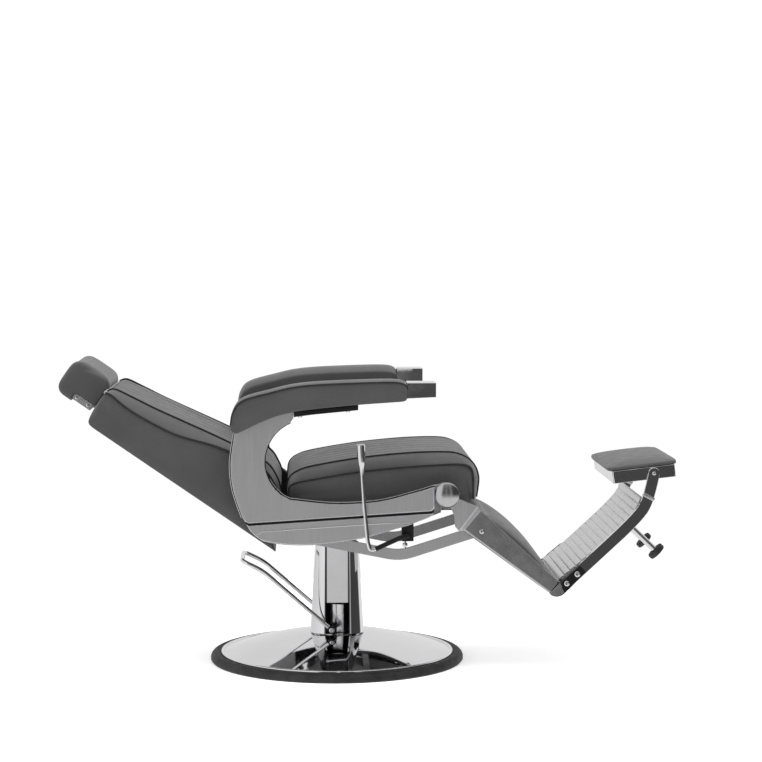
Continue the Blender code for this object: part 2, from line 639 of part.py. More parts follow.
def seat():
    """Crossbars, board and the channelled cushion."""
    reach = FRAME_IN - FIT
    for name, middle in (("front_crossbar", FRONT_BAR_X), ("rear_crossbar", REAR_BAR_X)):
        bar = add(name, box((middle - BAR_WIDTH / 2, -reach, BAR_LOW), (middle + BAR_WIDTH / 2, reach, BAR_TOP)),
                  STEEL, deck)
        if name == "rear_crossbar":
            carve(bar, "strut_cutter", rod((middle - BAR_WIDTH, STRUT_Y, strut_height()),
                                           (middle + BAR_WIDTH, STRUT_Y, strut_height()), STRUT_RADIUS + FIT))
    add("seat_board", box((BOARD_REAR, -BACK_HALF, BOARD_LOW), (BOARD_FRONT, BACK_HALF, BOARD_TOP)), PLYWOOD, deck)
    front = SEAT_TOP[-1][0] - SEAT_FRONT_TUCK
    rear = SEAT_TOP[0][0] + SEAT_REAR_TUCK

    def place(along, across, high):
        top = spline(SEAT_TOP, along)
        low = Vector((rear + (front - rear) * along, SEAT_LOW))
        low.y += SEAT_NOSE_LIFT * max(0.0, (low.x - BOARD_FRONT) / (front - BOARD_FRONT))
        fade = min(1.0, 5 * along, 5 * (1 - along))
        fall = SEAT_EDGE_DROP * edge_roll(across, SEAT_PANEL)
        fall += CHANNEL_DEPTH * fade * channel_dip(across, SEAT_CHANNELS, SEAT_PANEL)
        up = (top - low).normalized()
        spot = low.lerp(top - up * fall, high)
        draw = SEAT_SIDE_DRAW * math.sin(math.pi * high) + SEAT_WAIST_DRAW * math.sin(math.pi * along) * high
        corner = SEAT_CORNER_DRAW * across ** 4 * max(0.0, 2 * along - 1)
        return Vector((spot.x - corner, across * (SEAT_HALF - draw), spot.y))

    add("seat_cushion", upholster([k / 15 for k in range(1, 15)], channel_cuts(SEAT_CHANNELS, SEAT_PANEL),
                                  [0.5, 0.85], place), VINYL, deck, 60)


def strut_height():
    """Height of the recline strut's axis above the deck."""
    return BACK_HINGE[1] + LINK_ROD_AT[1] - STRUT_DROP


def recline_strut():
    """Gas strut held by the crossbars; its rod pushes the back's link rod."""
    height = strut_height()
    front = FRONT_BAR_X - BAR_WIDTH / 2 - FIT
    cylinder = add("strut_cylinder", rod((front, STRUT_Y, height), (STRUT_REAR, STRUT_Y, height), STRUT_RADIUS),
                   BLACK, deck)
    bore = STRUT_ROD_RADIUS + FIT
    carve(cylinder, "strut_bore_cutter", rod((STRUT_REAR + STRUT_BORE_DEPTH, STRUT_Y, height),
                                             (STRUT_REAR - 0.01, STRUT_Y, height), bore))
    eye_x = BACK_HINGE[0] + LINK_ROD_AT[0]
    hole = LINK_ROD_RADIUS + LINK_SLACK
    eye = hole + 0.004
    inside = STRUT_REAR + STRUT_BORE_DEPTH - 0.030
    plunger = add("strut_rod", rod((inside, STRUT_Y, height), (eye_x, STRUT_Y, height), STRUT_ROD_RADIUS),
                  CHROME, deck)
    carve(plunger, "strut_eye", cross_rod((eye_x, height), STRUT_Y - STRUT_EYE_HALF, STRUT_Y + STRUT_EYE_HALF, eye),
          "UNION")
    carve(plunger, "strut_eye_cutter", cross_rod((eye_x, height), STRUT_Y - 0.02, STRUT_Y + 0.02, hole))


def height_at(line, x):
    """Height of a chain of points, given from the rear to the front, at one x."""
    for (x0, z0), (x1, z1) in zip(line, line[1:]):
        if x0 <= x <= x1:
            return z0 + (z1 - z0) * (x - x0) / (x1 - x0)
    return line[-1][1]


def under_arm(rear, front):
    """Line that touches the arm pad's underside between two places along the chair."""
    pad = [tuple(spline(ARM_BOTTOM, k / ARM_SLICES)) for k in range(ARM_SLICES + 1)]
    places = [rear] + [x for x, z in pad if rear < x < front] + [front]
    return [(x, height_at(pad, x) - 1.2 * FIT) for x in places]


def rear_edge():
    """Rear outline of the side frame, from the arm down to the side panel's foot."""
    return smooth([under_arm(FRAME_REAR, PANEL_TIP[0])[0]] + list(REAR_EDGE), 3)


def mouth_edge():
    """Inner edge of the C, from the tip round to the front of the rail."""
    return arc(MOUTH_CENTRE, MOUTH_RADIUS, 113, 240, 14)[:-1] + smooth(((-0.119, 0.0745),) + RAIL_TOP, 3)


def side_frames():
    """Cast frame, satin side panel and skirt on each side."""
    skirt_line = smooth(SKIRT_EDGE, 2)
    foot_rear, foot_front = PANEL_FOOT
    rail_end = RAIL_TOP[-1][0]
    nose = arc(NOSE_CENTRE, NOSE_RADIUS, 128, -110, 14)
    tip = [PANEL_TIP, (PANEL_TIP[0] - 0.0005, PANEL_TIP[1] - 0.015)]
    rear = rear_edge()
    panel = (under_arm(FRAME_REAR, PANEL_TIP[0]) + tip + mouth_edge() + [(rail_end, foot_front[1] + 0.007)]
             + [foot_front, foot_rear] + [(rear[-1][0] + 0.007, rear[-1][1] - 0.009)] + rear[::-1][:-1])
    shift = (0, -SHADOW_GAP)
    skirt_top = moved([(rear[-1][0] + 0.008, rear[-1][1] - 0.0085), foot_rear, foot_front], shift)
    skirt = skirt_top + [(rail_end, foot_front[1] - 0.0055)] + [p for p in skirt_line if p[0] < rail_end - 0.004]
    for side, sign in SIDES:
        shape = bmesh.new()
        loop = under_arm(FRAME_REAR, PANEL_TIP[0]) + tip + mouth_edge()
        body = [shape.verts.new((x, sign * FRAME_IN, z)) for x, z in loop]
        front = [shape.verts.new((x, sign * FRAME_IN, z)) for x, z in nose]
        lower = [shape.verts.new((x, sign * FRAME_IN, z)) for x, z in skirt_line + rear[::-1][:-1]]
        main_face = shape.faces.new(body + [front[0], front[-1]] + lower)
        nose_face = shape.faces.new(front)
        grown = bmesh.ops.extrude_face_region(shape, geom=[main_face, nose_face])["geom"]
        bmesh.ops.translate(shape, verts=[v for v in grown if isinstance(v, bmesh.types.BMVert)],
                            vec=(0, sign * FRAME_THICK, 0))
        outer = [f for f in grown if isinstance(f, bmesh.types.BMFace) and len(f.verts) == len(nose)]
        grown = bmesh.ops.extrude_face_region(shape, geom=outer)["geom"]
        bmesh.ops.translate(shape, verts=[v for v in grown if isinstance(v, bmesh.types.BMVert)],
                            vec=(0, sign * (PANEL_OUT - FRAME_OUT), 0))
        bmesh.ops.delete(shape, geom=outer, context="FACES_ONLY")
        add(f"side_frame_{side}", shape, POLISHED, deck)
        add(f"side_panel_{side}", side_plate(panel, sign, FRAME_OUT + FIT, PANEL_OUT), SATIN, deck)
        add(f"skirt_panel_{side}", side_plate(skirt, sign, FRAME_OUT + FIT, PANEL_OUT), SATIN, deck)
        add(f"back_hinge_pin_{side}", cross_rod(BACK_HINGE, sign * (BACK_HALF + 2 * FIT), sign * (FRAME_IN - FIT),
                                                BACK_PIN_RADIUS), STEEL, deck)
        add(f"leg_hinge_pin_{side}", cross_rod(LEG_HINGE, sign * (EAR_MIDDLE - EAR_THICK), sign * (FRAME_IN - FIT),
                                               LEG_PIN_RADIUS), STEEL, deck)


def arms():
    """Padded arms, their brackets and the caps at their front ends."""
    def place(sign):
        def spot(along, across, high):
            top = spline(ARM_TOP, along)
            low = spline(ARM_BOTTOM, along)
            fall = ARM_EDGE_DROP * edge_roll(across, 0.55)
            point = low.lerp(top - (top - low).normalized() * fall, high)
            half = ARM_PAD_HALF * (1 - 0.10 * (1 - high) ** 2 - 0.05 * math.sin(math.pi * high))
            return Vector((point.x, sign * ARM_MIDDLE + across * half, point.y))
        return spot

    start = PANEL_TIP[0] + FIT
    bracket = under_arm(start, start + BRACKET_LENGTH)
    bracket += [(x, z - BRACKET_THICK) for x, z in bracket[::-1]]
    cap_start = ARM_TOP[-1][0] + FIT
    cap_top = ARM_TOP[-3][1] - ARM_CAP_DROP
    cap_low = cap_top - ARM_CAP_HEIGHT
    cap = [(cap_start, cap_low), (cap_start + ARM_CAP_LENGTH, cap_low + 0.003),
           (cap_start + ARM_CAP_LENGTH, cap_top), (cap_start, cap_top)]
    for side, sign in SIDES:
        pad = upholster([k / ARM_SLICES for k in range(1, ARM_SLICES)], [-0.82, -0.55, 0, 0.55, 0.82], [0.35, 0.8], place(sign))
        add(f"arm_pad_{side}", pad, VINYL, deck, 60)
        middle = sign * ARM_MIDDLE
        add(f"arm_bracket_{side}", plate(bracket, middle - ARM_BRACKET_HALF, middle + ARM_BRACKET_HALF), BLACK, deck)
        add(f"arm_cap_{side}", plate(cap, middle - ARM_CAP_HALF, middle + ARM_CAP_HALF), CHROME, deck)


def recline_lever():
    """Block under the near side frame and the bent hand lever that turns in it."""
    edge = smooth(sorted(SKIRT_EDGE), 2)
    rear = LEVER_PIVOT[0] - LEVER_BLOCK[0] / 2
    front = LEVER_PIVOT[0] + LEVER_BLOCK[0] / 2
    low = LEVER_PIVOT[1] - LEVER_BLOCK[1] / 2
    places = [front] + [x for x, z in edge[::-1] if rear < x < front] + [rear]
    outline = [(rear, low), (front, low)] + [(x, height_at(edge, x) - 1.5 * FIT) for x in places]
    block = add("lever_block", side_plate(outline, -1, FRAME_IN, PANEL_OUT), BLACK, deck)
    carve(block, "lever_shaft_cutter", cross_rod(LEVER_PIVOT, -FRAME_IN + 0.02, -PANEL_OUT - 0.02,
                                                 LEVER_ROD_RADIUS + RUNNING))
    plane = -(PANEL_OUT + LEVER_CLEAR + LEVER_ROD_RADIUS)
    pivot = Vector((LEVER_PIVOT[0], 0, LEVER_PIVOT[1]))
    route = [Vector((0, -FRAME_IN - FIT, 0)), Vector((0, plane, 0))]
    route += [Vector((x, plane, z)) - pivot for x, z in LEVER_POINTS]
    route = eased(route, LEVER_BEND, 4)
    neck = Vector((LEVER_POINTS[-1][0], plane, LEVER_POINTS[-1][1])) - pivot
    grip = Vector((LEVER_GRIP[0], plane, LEVER_GRIP[1])) - pivot
    swell = [(0.12, 1.0), (0.32, 1.5), (0.5, 1.9), (0.75, LEVER_GRIP_SCALE), (0.96, LEVER_GRIP_SCALE),
             (1.0, LEVER_GRIP_SCALE * 0.8)]
    scales = [1.0] * len(route) + [scale for share, scale in swell]
    route += [neck.lerp(grip, share) for share, scale in swell]
    bent_rod("recline_lever", route, LEVER_ROD_RADIUS, CHROME, lever_joint, scales)


def on_back(up, forward):
    """Point of the back in its own face's frame: +Z up along the rear face, +X forward."""
    return forward + BACK_FOOT[1], up + BACK_FOOT[0]


def back():
    """Board, channelled cushion, hinge arms, link rod and headrest socket."""
    half = BACK_HALF
    corners = [on_back(0, 0), on_back(0, BACK_BOARD), on_back(BACK_BOARD_LENGTH, BACK_BOARD),
               on_back(BACK_BOARD_LENGTH, BACK_BEVEL * 0.6), on_back(BACK_BOARD_LENGTH - BACK_BEVEL, 0)]
    add("back_board", plate(corners, -half, half), VINYL, back_face)
    rear = BACK_BOARD + FIT

    def place(along, across, high):
        share, forward = spline(BACK_FRONT, along)
        up = BACK_CUSHION_LOW + BACK_CUSHION_LENGTH * share
        fade = min(1.0, 6 * along, 6 * (1 - along))
        fall = BACK_EDGE_DROP * edge_roll(across, BACK_PANEL)
        fall += CHANNEL_DEPTH * fade * channel_dip(across, BACK_CHANNELS, BACK_PANEL)
        x, z = on_back(up, rear + (forward - fall - rear) * high)
        draw = BACK_SIDE_DRAW * (math.sin(math.pi * high) + math.sin(math.pi * along) * high)
        return Vector((x, across * (half - draw), z))

    cushion = add("back_cushion", upholster([k / 14 for k in range(1, 14)],
                                            channel_cuts(BACK_CHANNELS, BACK_PANEL), [0.5, 0.85], place),
                  VINYL, back_face, 60)
    socket_in = POST_HALF + RUNNING
    socket_out = socket_in + SOCKET_WALL
    post_front = POST_REAR + POST_THICK + RUNNING
    socket_front = post_front + SOCKET_WALL
    socket_top = BACK_BOARD_LENGTH
    socket_low = socket_top - SOCKET_LENGTH
    low_x, low_z = on_back(socket_low - 0.01, BACK_BOARD - 0.02)
    high_x, high_z = on_back(socket_top + 0.05, socket_front + FIT)
    carve(cushion, "socket_groove_cutter", box((low_x, -socket_out - FIT, low_z), (high_x, socket_out + FIT, high_z)))
    rear_x, socket_low_z = on_back(socket_low, rear)
    front_x, socket_top_z = on_back(socket_top, socket_front)
    socket = add("headrest_socket", box((rear_x, -socket_out, socket_low_z), (front_x, socket_out, socket_top_z)),
                 STEEL, back_face)
    groove_x = on_back(0, post_front)[0]
    carve(socket, "socket_cutter", box((rear_x - 0.01, -socket_in, socket_low_z - 0.01),
                                       (groove_x, socket_in, socket_top_z + 0.01)))
    arm_in = BACK_HALF + FIT
    lean = Matrix.Rotation(BACK_LEAN, 2)
    board_side = lean @ Vector(on_back(BACK_ARM_GRIP, BACK_BOARD - BACK_ARM_GRIP_RADIUS / 4))
    discs = [(0, 0, BACK_ARM_HUB), (*LINK_ROD_AT, BACK_ARM_EYE), (*BACK_ARM_TOP, BACK_ARM_TOP_RADIUS),
             (*board_side, BACK_ARM_GRIP_RADIUS)]
    for side, sign in SIDES:
        arm = add(f"back_arm_{side}", side_plate(around(discs), sign, arm_in, arm_in + BACK_ARM_THICK),
                  STEEL, back_joint)
        carve(arm, f"back_arm_{side}_cutter", cross_rod((0, 0), sign * (arm_in - 0.01),
                                                        sign * (arm_in + BACK_ARM_THICK + 0.01),
                                                        BACK_PIN_RADIUS + RUNNING))
    add("link_rod", cross_rod(LINK_ROD_AT, -BACK_HALF, BACK_HALF, LINK_ROD_RADIUS), STEEL, back_joint)


def headrest():
    """Post with its cross yoke, and the pad that tilts on the yoke's round edge."""
    radius = POST_THICK / 2
    tilt = on_back(TILT_AT, POST_MIDDLE)
    slide_joint = empty("post_joint", (tilt[0], 0, tilt[1]), back_face)
    tilt_joint = empty("tilt_joint", (0, 0, 0), slide_joint)
    low = YOKE_LOW - TILT_AT

    yoke = arc((0, 0), radius, 0, 180, 12) + [(-radius, low), (radius, low)]
    post = add("headrest_post", plate(yoke, -YOKE_HALF, YOKE_HALF), CHROME, slide_joint)
    carve(post, "post_stem", box((-radius, -POST_HALF, POST_LOW - TILT_AT), (radius, POST_HALF, low + 0.01)), "UNION")
    rear = HEAD_REAR - POST_MIDDLE
    bottom = HEAD_LOW - TILT_AT

    def place(along, across, high):
        flat = Vector((along * HEAD_LENGTH, across * HEAD_HALF, high * HEAD_DEPTH))
        inset = Vector((min(max(flat.x, HEAD_CORNER), HEAD_LENGTH - HEAD_CORNER),
                        min(max(flat.y, HEAD_CORNER - HEAD_HALF), HEAD_HALF - HEAD_CORNER),
                        min(max(flat.z, HEAD_CORNER), HEAD_DEPTH - HEAD_CORNER)))
        over = flat - inset
        spot = inset + over.normalized() * min(over.length, HEAD_CORNER)
        crown = HEAD_CROWN * (1 - across * across) * high
        draw = 1 - 0.02 * math.sin(math.pi * along)
        return Vector((rear + spot.z + crown, spot.y * draw, bottom + spot.x))

    edge = HEAD_CORNER / HEAD_LENGTH
    deep = HEAD_CORNER / HEAD_DEPTH
    wide = HEAD_CORNER / HEAD_HALF
    pad = upholster([edge * 0.3, edge * 0.65, edge, 0.5, 1 - edge, 1 - edge * 0.65, 1 - edge * 0.3],
                    [wide * 0.3 - 1, wide * 0.65 - 1, wide - 1, 0, 1 - wide, 1 - wide * 0.65, 1 - wide * 0.3],
                    [deep * 0.3, deep * 0.65, deep, 0.5, 1 - deep, 1 - deep * 0.65, 1 - deep * 0.3], place)
    made = add("headrest_pad", pad, VINYL, tilt_joint, 60)
    past = HEAD_CORNER
    notch = arc((0, 0), radius + 2 * FIT, 0, 180 - HEAD_TILT, 10)
    notch += [(rear - past, notch[-1][1]), (rear - past, bottom - past), (radius + 2 * FIT, bottom - past)]
    carve(made, "yoke_cutter", plate(notch, -2 * HEAD_HALF, 2 * HEAD_HALF))


def calf_frame(up, out):
    """Point of the calf tray: up from its upper foot corner along the floor, out square to it."""
    foot = Vector(CALF_FOOT_HIGH)
    run = (Vector(CALF_FOOT_LOW) - foot).normalized()
    return tuple(foot + run * up + Vector((-run.y, run.x)) * out)


def leg_rest():
    """Bent ears, calf tray and its pad."""
    foot = Vector(CALF_FOOT_HIGH)
    run = (Vector(CALF_FOOT_LOW) - foot).normalized()
    square = Vector((-run.y, run.x))
    length = (Vector(CALF_FOOT_LOW) - foot).length

    tray = add("calf_tray", plate([CALF_TOP_HIGH, CALF_TOP_LOW, CALF_FOOT_LOW, CALF_FOOT_HIGH],
                                  -CALF_HALF, CALF_HALF), SATIN, leg_joint)
    end = length - CALF_WALL
    hollow = [calf_frame(-0.05, -0.02), calf_frame(CALF_FLOOR_START, -0.02), calf_frame(CALF_FLOOR_START, CALF_WALL),
              calf_frame(end, CALF_WALL), calf_frame(end, 0.15), calf_frame(-0.05, 0.15)]
    carve(tray, "calf_tray_cutter", plate(hollow, CALF_WALL - CALF_HALF, CALF_HALF - CALF_WALL))

    high = Vector(CALF_TOP_HIGH) - foot
    low = Vector(CALF_TOP_LOW) - foot
    slope = (low.dot(square) - high.dot(square)) / (low.dot(run) - high.dot(run))

    def place(along, across, height):
        up = CALF_PAD_START + (CALF_PAD_END - CALF_PAD_START) * along
        edge = high.dot(square) + slope * (up - high.dot(run))
        crown = CALF_CROWN * 4 * along ** 0.8 * (1 - along) * (1 - 0.35 * across ** 4)
        x, z = calf_frame(up, edge - CALF_PAD_DEPTH + (CALF_PAD_DEPTH + crown) * height)
        return Vector((x, across * (CALF_HALF - CALF_WALL - FIT), z))

    pad = upholster([0.06, 0.18, 0.32, 0.5, 0.68, 0.82, 0.94], [-0.93, -0.75, -0.4, 0, 0.4, 0.75, 0.93], [0.6], place)
    add("calf_pad", pad, VINYL, leg_joint, 60)

    head = arc((0, 0), EAR_HEAD_RADIUS, 258, 0, 14)
    back_off = run * (EAR_THICK / 2 + 2 * FIT)
    for side, sign in SIDES:
        shape = bmesh.new()
        corners = [shape.verts.new((x, sign * EAR_MIDDLE, z)) for x, z in list(EAR_OUTLINE) + head]
        shape.faces.new(corners)
        fold = shape.edges.get((corners[1], corners[2]))
        grown = bmesh.ops.extrude_edge_only(shape, edges=[fold])["geom"]
        for corner in (v for v in grown if isinstance(v, bmesh.types.BMVert)):
            upper = (corner.co.xz - Vector(EAR_OUTLINE[1])).length < FIT
            end_spot = Vector(CALF_TOP_HIGH if upper else CALF_FOOT_HIGH) - back_off
            corner.co = (end_spot.x, sign * (CALF_HALF - CALF_WALL / 2), end_spot.y)
        ear = add(f"leg_ear_{side}", shape, SATIN, leg_joint)
        sheet = ear.modifiers.new("sheet", "SOLIDIFY")
        sheet.thickness = EAR_THICK
        sheet.offset = 0
        sheet.use_even_offset = True
        carve(ear, f"leg_ear_{side}_cutter", cross_rod((0, 0), sign * (EAR_MIDDLE - 0.01), sign * (EAR_MIDDLE + 0.01),
                                                       LEG_PIN_RADIUS + RUNNING))


def trail(line, steps=12):
    """Length of a smooth line and a function that gives its point and left normal at a distance."""
    points = [Vector(p) for p in smooth(line, steps)]
    lengths = [0.0]
    for a, b in zip(points, points[1:]):
        lengths.append(lengths[-1] + (b - a).length)

    def at(distance):
        k = max(i for i in range(len(points) - 1) if lengths[i] <= max(distance, 0.0))
        run = points[k + 1] - points[k]
        side = Vector((-run.y, run.x)).normalized()
        return points[k] + run.normalized() * (distance - lengths[k]), side

    return lengths[-1], at


def foot_section():
    """Ankle brackets, curved foot bars, ribbed tread and the two floor legs."""
    line = smooth(FOOT_BAR_LINE + (FOOT_HINGE,), 3)
    bar_outline = strip(line, FOOT_BAR_HALF)
    ankle = [calf_end(CALF_FOOT_LOW), *ANKLE_OUTLINE, calf_end(CALF_TOP_LOW)]
    for side, sign in SIDES:
        add(f"foot_bar_{side}", side_plate(bar_outline, sign, FOOT_IN, FOOT_OUT), CHROME, leg_joint)
        add(f"ankle_bracket_{side}", side_plate(ankle, sign, FOOT_OUT + FIT, CALF_HALF), BLACK, leg_joint)

    length, at = trail(TREAD_LINE)
    pitch = length / TREAD_RIBS
    top = []
    for k in range(TREAD_RIBS):
        for share, rise in ((0.0, 0.0), (0.12, 1.0), (0.55, 1.0), (0.67, 0.0)):
            spot, side = at((k + share) * pitch)
            top.append(tuple(spot + side * (rise * TREAD_RIB_HEIGHT)))
    end_spot, end_side = at(length)
    top.append(tuple(end_spot))
    under = [tuple(spot - side * TREAD_THICK) for spot, side in (at(length * k / 16) for k in range(16, -1, -1))]
    half = FOOT_IN - FIT
    add("tread_plate", plate(top + under, -half, half), SATIN, leg_joint)

    seat_spot, up = at(FLOOR_LEG_AT)
    start = seat_spot - up * (TREAD_THICK + 2 * FIT)
    end = start - up * FLOOR_LEG_LENGTH
    foot_start = end - up * FIT
    foot_end = foot_start - up * FLOOR_FOOT_THICK
    for side, sign in SIDES:
        y = sign * FLOOR_LEG_Y
        add(f"floor_leg_{side}", rod((start.x, y, start.y), (end.x, y, end.y), FLOOR_LEG_RADIUS, 16), CHROME, leg_joint)
        add(f"floor_foot_{side}", rod((foot_start.x, y, foot_start.y), (foot_end.x, y, foot_end.y), FLOOR_FOOT_RADIUS),
            RUBBER, leg_joint)


def calf_end(corner):
    """A lower corner of the calf tray, moved on by the gap that the ankle bracket keeps."""
    run = (Vector(CALF_FOOT_LOW) - Vector(CALF_FOOT_HIGH)).normalized()
    return tuple(Vector(corner) + run * 2 * FIT)


def footrest():
    """Folded metal tray with a pad; it flips over about the foot hinge."""
    low = TRAY_TOP - TRAY_HEIGHT
    tray = add("foot_tray", box((-TRAY_REACH_BACK, -TRAY_HALF, low), (TRAY_REACH_FRONT, TRAY_HALF, TRAY_TOP)),
               CHROME, foot_joint)
    carve(tray, "foot_tray_cutter", box((TRAY_WALL - TRAY_REACH_BACK, TRAY_WALL - TRAY_HALF, low - 0.01),
                                        (TRAY_REACH_FRONT - TRAY_WALL, TRAY_HALF - TRAY_WALL, TRAY_TOP - TRAY_WALL)))

    def place(along, across, high):
        corner = max(abs(2 * along - 1), abs(across))
        dome = FOOT_PAD_CROWN * (1 - (2 * along - 1) ** 2) * (1 - across ** 2)
        edge = FOOT_PAD_THICK * (1 - 0.35 * max(0.0, corner - 0.9) / 0.1)
        draw = 1 - 0.012 * math.sin(math.pi * high)
        x = -TRAY_REACH_BACK + (TRAY_REACH_BACK + TRAY_REACH_FRONT) * along
        return Vector((x, across * TRAY_HALF * draw, TRAY_TOP + FIT + (edge + dome) * high))

    pad = upholster([0.05, 0.15, 0.35, 0.65, 0.85, 0.95], [-0.95, -0.8, -0.4, 0, 0.4, 0.8, 0.95], [0.5], place)
    add("foot_pad", pad, VINYL, foot_joint, 60)


def links():
    """Bent flat bars from the back's link rod to the calf tray, each with its front pin."""
    rear = Vector(BACK_HINGE) + Vector(LINK_ROD_AT) - Vector(LEG_HINGE) - Vector(LINK_FRONT_AT)
    line = eased([rear, rear + Vector(LINK_KNEE), LINK_ELBOW, (0, 0)], LINK_BEND)
    outline = strip(line, LINK_HALF_HEIGHT)
    for side, sign in SIDES:
        inner = LINK_MIDDLE - LINK_THICK / 2
        outer = LINK_MIDDLE + LINK_THICK / 2
        link = add(f"link_{side}", side_plate(outline, sign, inner, outer), SATIN, link_joint)
        carve(link, f"link_pin_{side}", cross_rod((0, 0), sign * LINK_MIDDLE, sign * (CALF_HALF - CALF_WALL - FIT),
                                                  LINK_PIN_RADIUS), "UNION")
        carve(link, f"link_eye_{side}_cutter", cross_rod(rear, sign * (inner - 0.01), sign * (outer + 0.01),
                                                         LINK_ROD_RADIUS + LINK_SLACK))


base()
pedal()
lift()
seat()
recline_strut()
side_frames()
arms()
recline_lever()
back()
headrest()
leg_rest()
foot_section()
footrest()
links()
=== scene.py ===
# %% [markdown]
# # Dressing a reclining barber chair
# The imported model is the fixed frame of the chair: each solid stands where it belongs and moves with its
# own body. This lesson builds the looks around that frame: stuffed upholstery with sewn channels and piping,
# bevelled metal, and finishes made of shader nodes. Everything is in metres, in the frame's own axes: the
# sitter faces +X, +Z is up, and the camera looks along +Y at the near side.

# %% Load the frame
import bisect
import math

import bmesh
import bpy
from mathutils import Matrix, Vector


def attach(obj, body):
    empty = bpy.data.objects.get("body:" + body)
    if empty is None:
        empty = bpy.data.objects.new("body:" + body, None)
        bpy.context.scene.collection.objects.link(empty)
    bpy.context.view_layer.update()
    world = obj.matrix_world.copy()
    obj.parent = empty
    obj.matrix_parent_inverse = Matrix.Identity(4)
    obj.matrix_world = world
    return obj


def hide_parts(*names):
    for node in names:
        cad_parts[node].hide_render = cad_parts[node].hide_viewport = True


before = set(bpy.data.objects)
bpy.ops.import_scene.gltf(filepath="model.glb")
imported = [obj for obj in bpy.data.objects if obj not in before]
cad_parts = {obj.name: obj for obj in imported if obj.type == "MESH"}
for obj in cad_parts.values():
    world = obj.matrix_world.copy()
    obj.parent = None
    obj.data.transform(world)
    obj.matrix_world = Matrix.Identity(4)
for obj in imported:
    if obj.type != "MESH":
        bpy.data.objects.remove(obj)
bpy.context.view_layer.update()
SIDES = (("near", -1), ("far", 1))


def put(name, data):
    """A new object in the scene."""
    made = bpy.data.objects.new(name, data)
    bpy.context.scene.collection.objects.link(made)
    return made


# %% [markdown]
# ## Camera
# The camera was fitted to the photograph: it stands five and a half metres away, a little to the left of the
# column and above the arms, and looks slightly down. A long lens keeps the perspective flat.

# %% Camera
PAN, TILT = 0.0372, 0.0664
CAMERA_AT, LENS, SENSOR = (-0.092, -5.525, 1.085), 102.05, 36
gaze = Vector((math.sin(PAN) * math.cos(TILT), math.cos(PAN) * math.cos(TILT), -math.sin(TILT)))
camera = put("camera", bpy.data.cameras.new("camera"))
camera.location = CAMERA_AT
camera.rotation_euler = gaze.to_track_quat("-Z", "Y").to_euler()
camera.data.sensor_width = SENSOR
camera.data.lens = LENS
bpy.context.scene.camera = camera
print("camera at", tuple(camera.location))

# %% [markdown]
# ## Studio
# Chrome shows the room more than itself, so the room matters. The background is white, and a big soft lamp
# hangs overhead. Mirror-like pieces see a room with tall dark panels to the front left and the front right:
# those panels draw the black stripes that make chrome look like chrome. A round pale floor lies under the
# base, and its far edge melts into the white.

# %% Studio
bpy.context.scene.view_settings.view_transform = "Standard"
FLOOR_RADIUS = 1.3
OVERHEAD, UNDERFOOT, AMBIENT, BACKDROP = 0.76, 0.90, 0.86, 1.02
HIGH_LEAN, HIGH_FROM, HIGH_TO = 0.35, 0.25, 0.75
LOW_FROM, LOW_TO = -0.16, -0.40
LAMP_AT, LAMP_SIZE, LAMP_POWER = (0.1, -0.4, 3.4), (3.4, 2.6), 130
# Bearings in degrees, 0 towards the camera and 90 to the sitter's front, with how bright the room is there
ROOM = ((-180, 0.78), (-120, 0.74), (-60, 0.84), (-21, 0.90), (-17, 0.05), (-1.8, 0.06), (-1.2, 0.62), (1.9, 0.62),
        (2.3, 0.07), (16, 0.06), (17.5, 0.45), (23, 0.45), (25, 0.05), (98, 0.06), (110, 0.90), (180, 0.78))

world = bpy.data.worlds.new("studio")
world.use_nodes = True
bpy.context.scene.world = world
tree = world.node_tree


def feed(node, sources):
    """Give inputs of a shader node their values, or links to other nodes' outputs."""
    for socket, source in sources.items():
        if isinstance(source, bpy.types.NodeSocket):
            node.id_data.links.new(source, node.inputs[socket])
        else:
            node.inputs[socket].default_value = source
    return node


def sum_node(operation, *sources):
    """One Math node of the room's shader."""
    node = tree.nodes.new("ShaderNodeMath")
    node.operation = operation
    return feed(node, dict(enumerate(sources))).outputs[0]


def ease_in(value, start, end):
    """Goes from 0 to 1 while the value goes from start to end."""
    node = tree.nodes.new("ShaderNodeMapRange")
    return feed(node, {"Value": value, "From Min": start, "From Max": end}).outputs["Result"]


def blend(share, first, second):
    """Mix of two colours."""
    node = tree.nodes.new("ShaderNodeMix")
    node.data_type = "RGBA"
    return feed(node, {"Factor": share, 6: first, 7: second}).outputs[2]


def tone(light):
    return (light, light, light, 1)


def spread(share):
    """Square root that keeps the sign: it gives the front of the room more of the ramp."""
    return math.copysign(math.sqrt(abs(share)), share)


ray = tree.nodes.new("ShaderNodeTexCoord").outputs["Generated"]
split = feed(tree.nodes.new("ShaderNodeSeparateXYZ"), {0: ray})
bearing = sum_node("ARCTAN2", split.outputs["X"], sum_node("MULTIPLY", split.outputs["Y"], -1.0))
half_turns = sum_node("DIVIDE", bearing, math.pi)
rooted = sum_node("MULTIPLY", sum_node("SIGN", half_turns), sum_node("SQRT", sum_node("ABSOLUTE", half_turns)))
room = tree.nodes.new("ShaderNodeValToRGB")
while len(room.color_ramp.elements) < len(ROOM):
    room.color_ramp.elements.new(0.5)
for stop, (turn, light) in zip(room.color_ramp.elements, ROOM):
    stop.position = (spread(turn / 180) + 1) / 2
for stop, (turn, light) in zip(room.color_ramp.elements, ROOM):
    stop.color = tone(light)
feed(room, {"Fac": sum_node("MULTIPLY_ADD", rooted, 0.5, 0.5)})
high = sum_node("MULTIPLY_ADD", split.outputs["Y"], HIGH_LEAN, split.outputs["Z"])
mirrored = blend(ease_in(high, HIGH_FROM, HIGH_TO), room.outputs["Color"], tone(OVERHEAD))
mirrored = blend(ease_in(split.outputs["Z"], LOW_FROM, LOW_TO), mirrored, tone(UNDERFOOT))
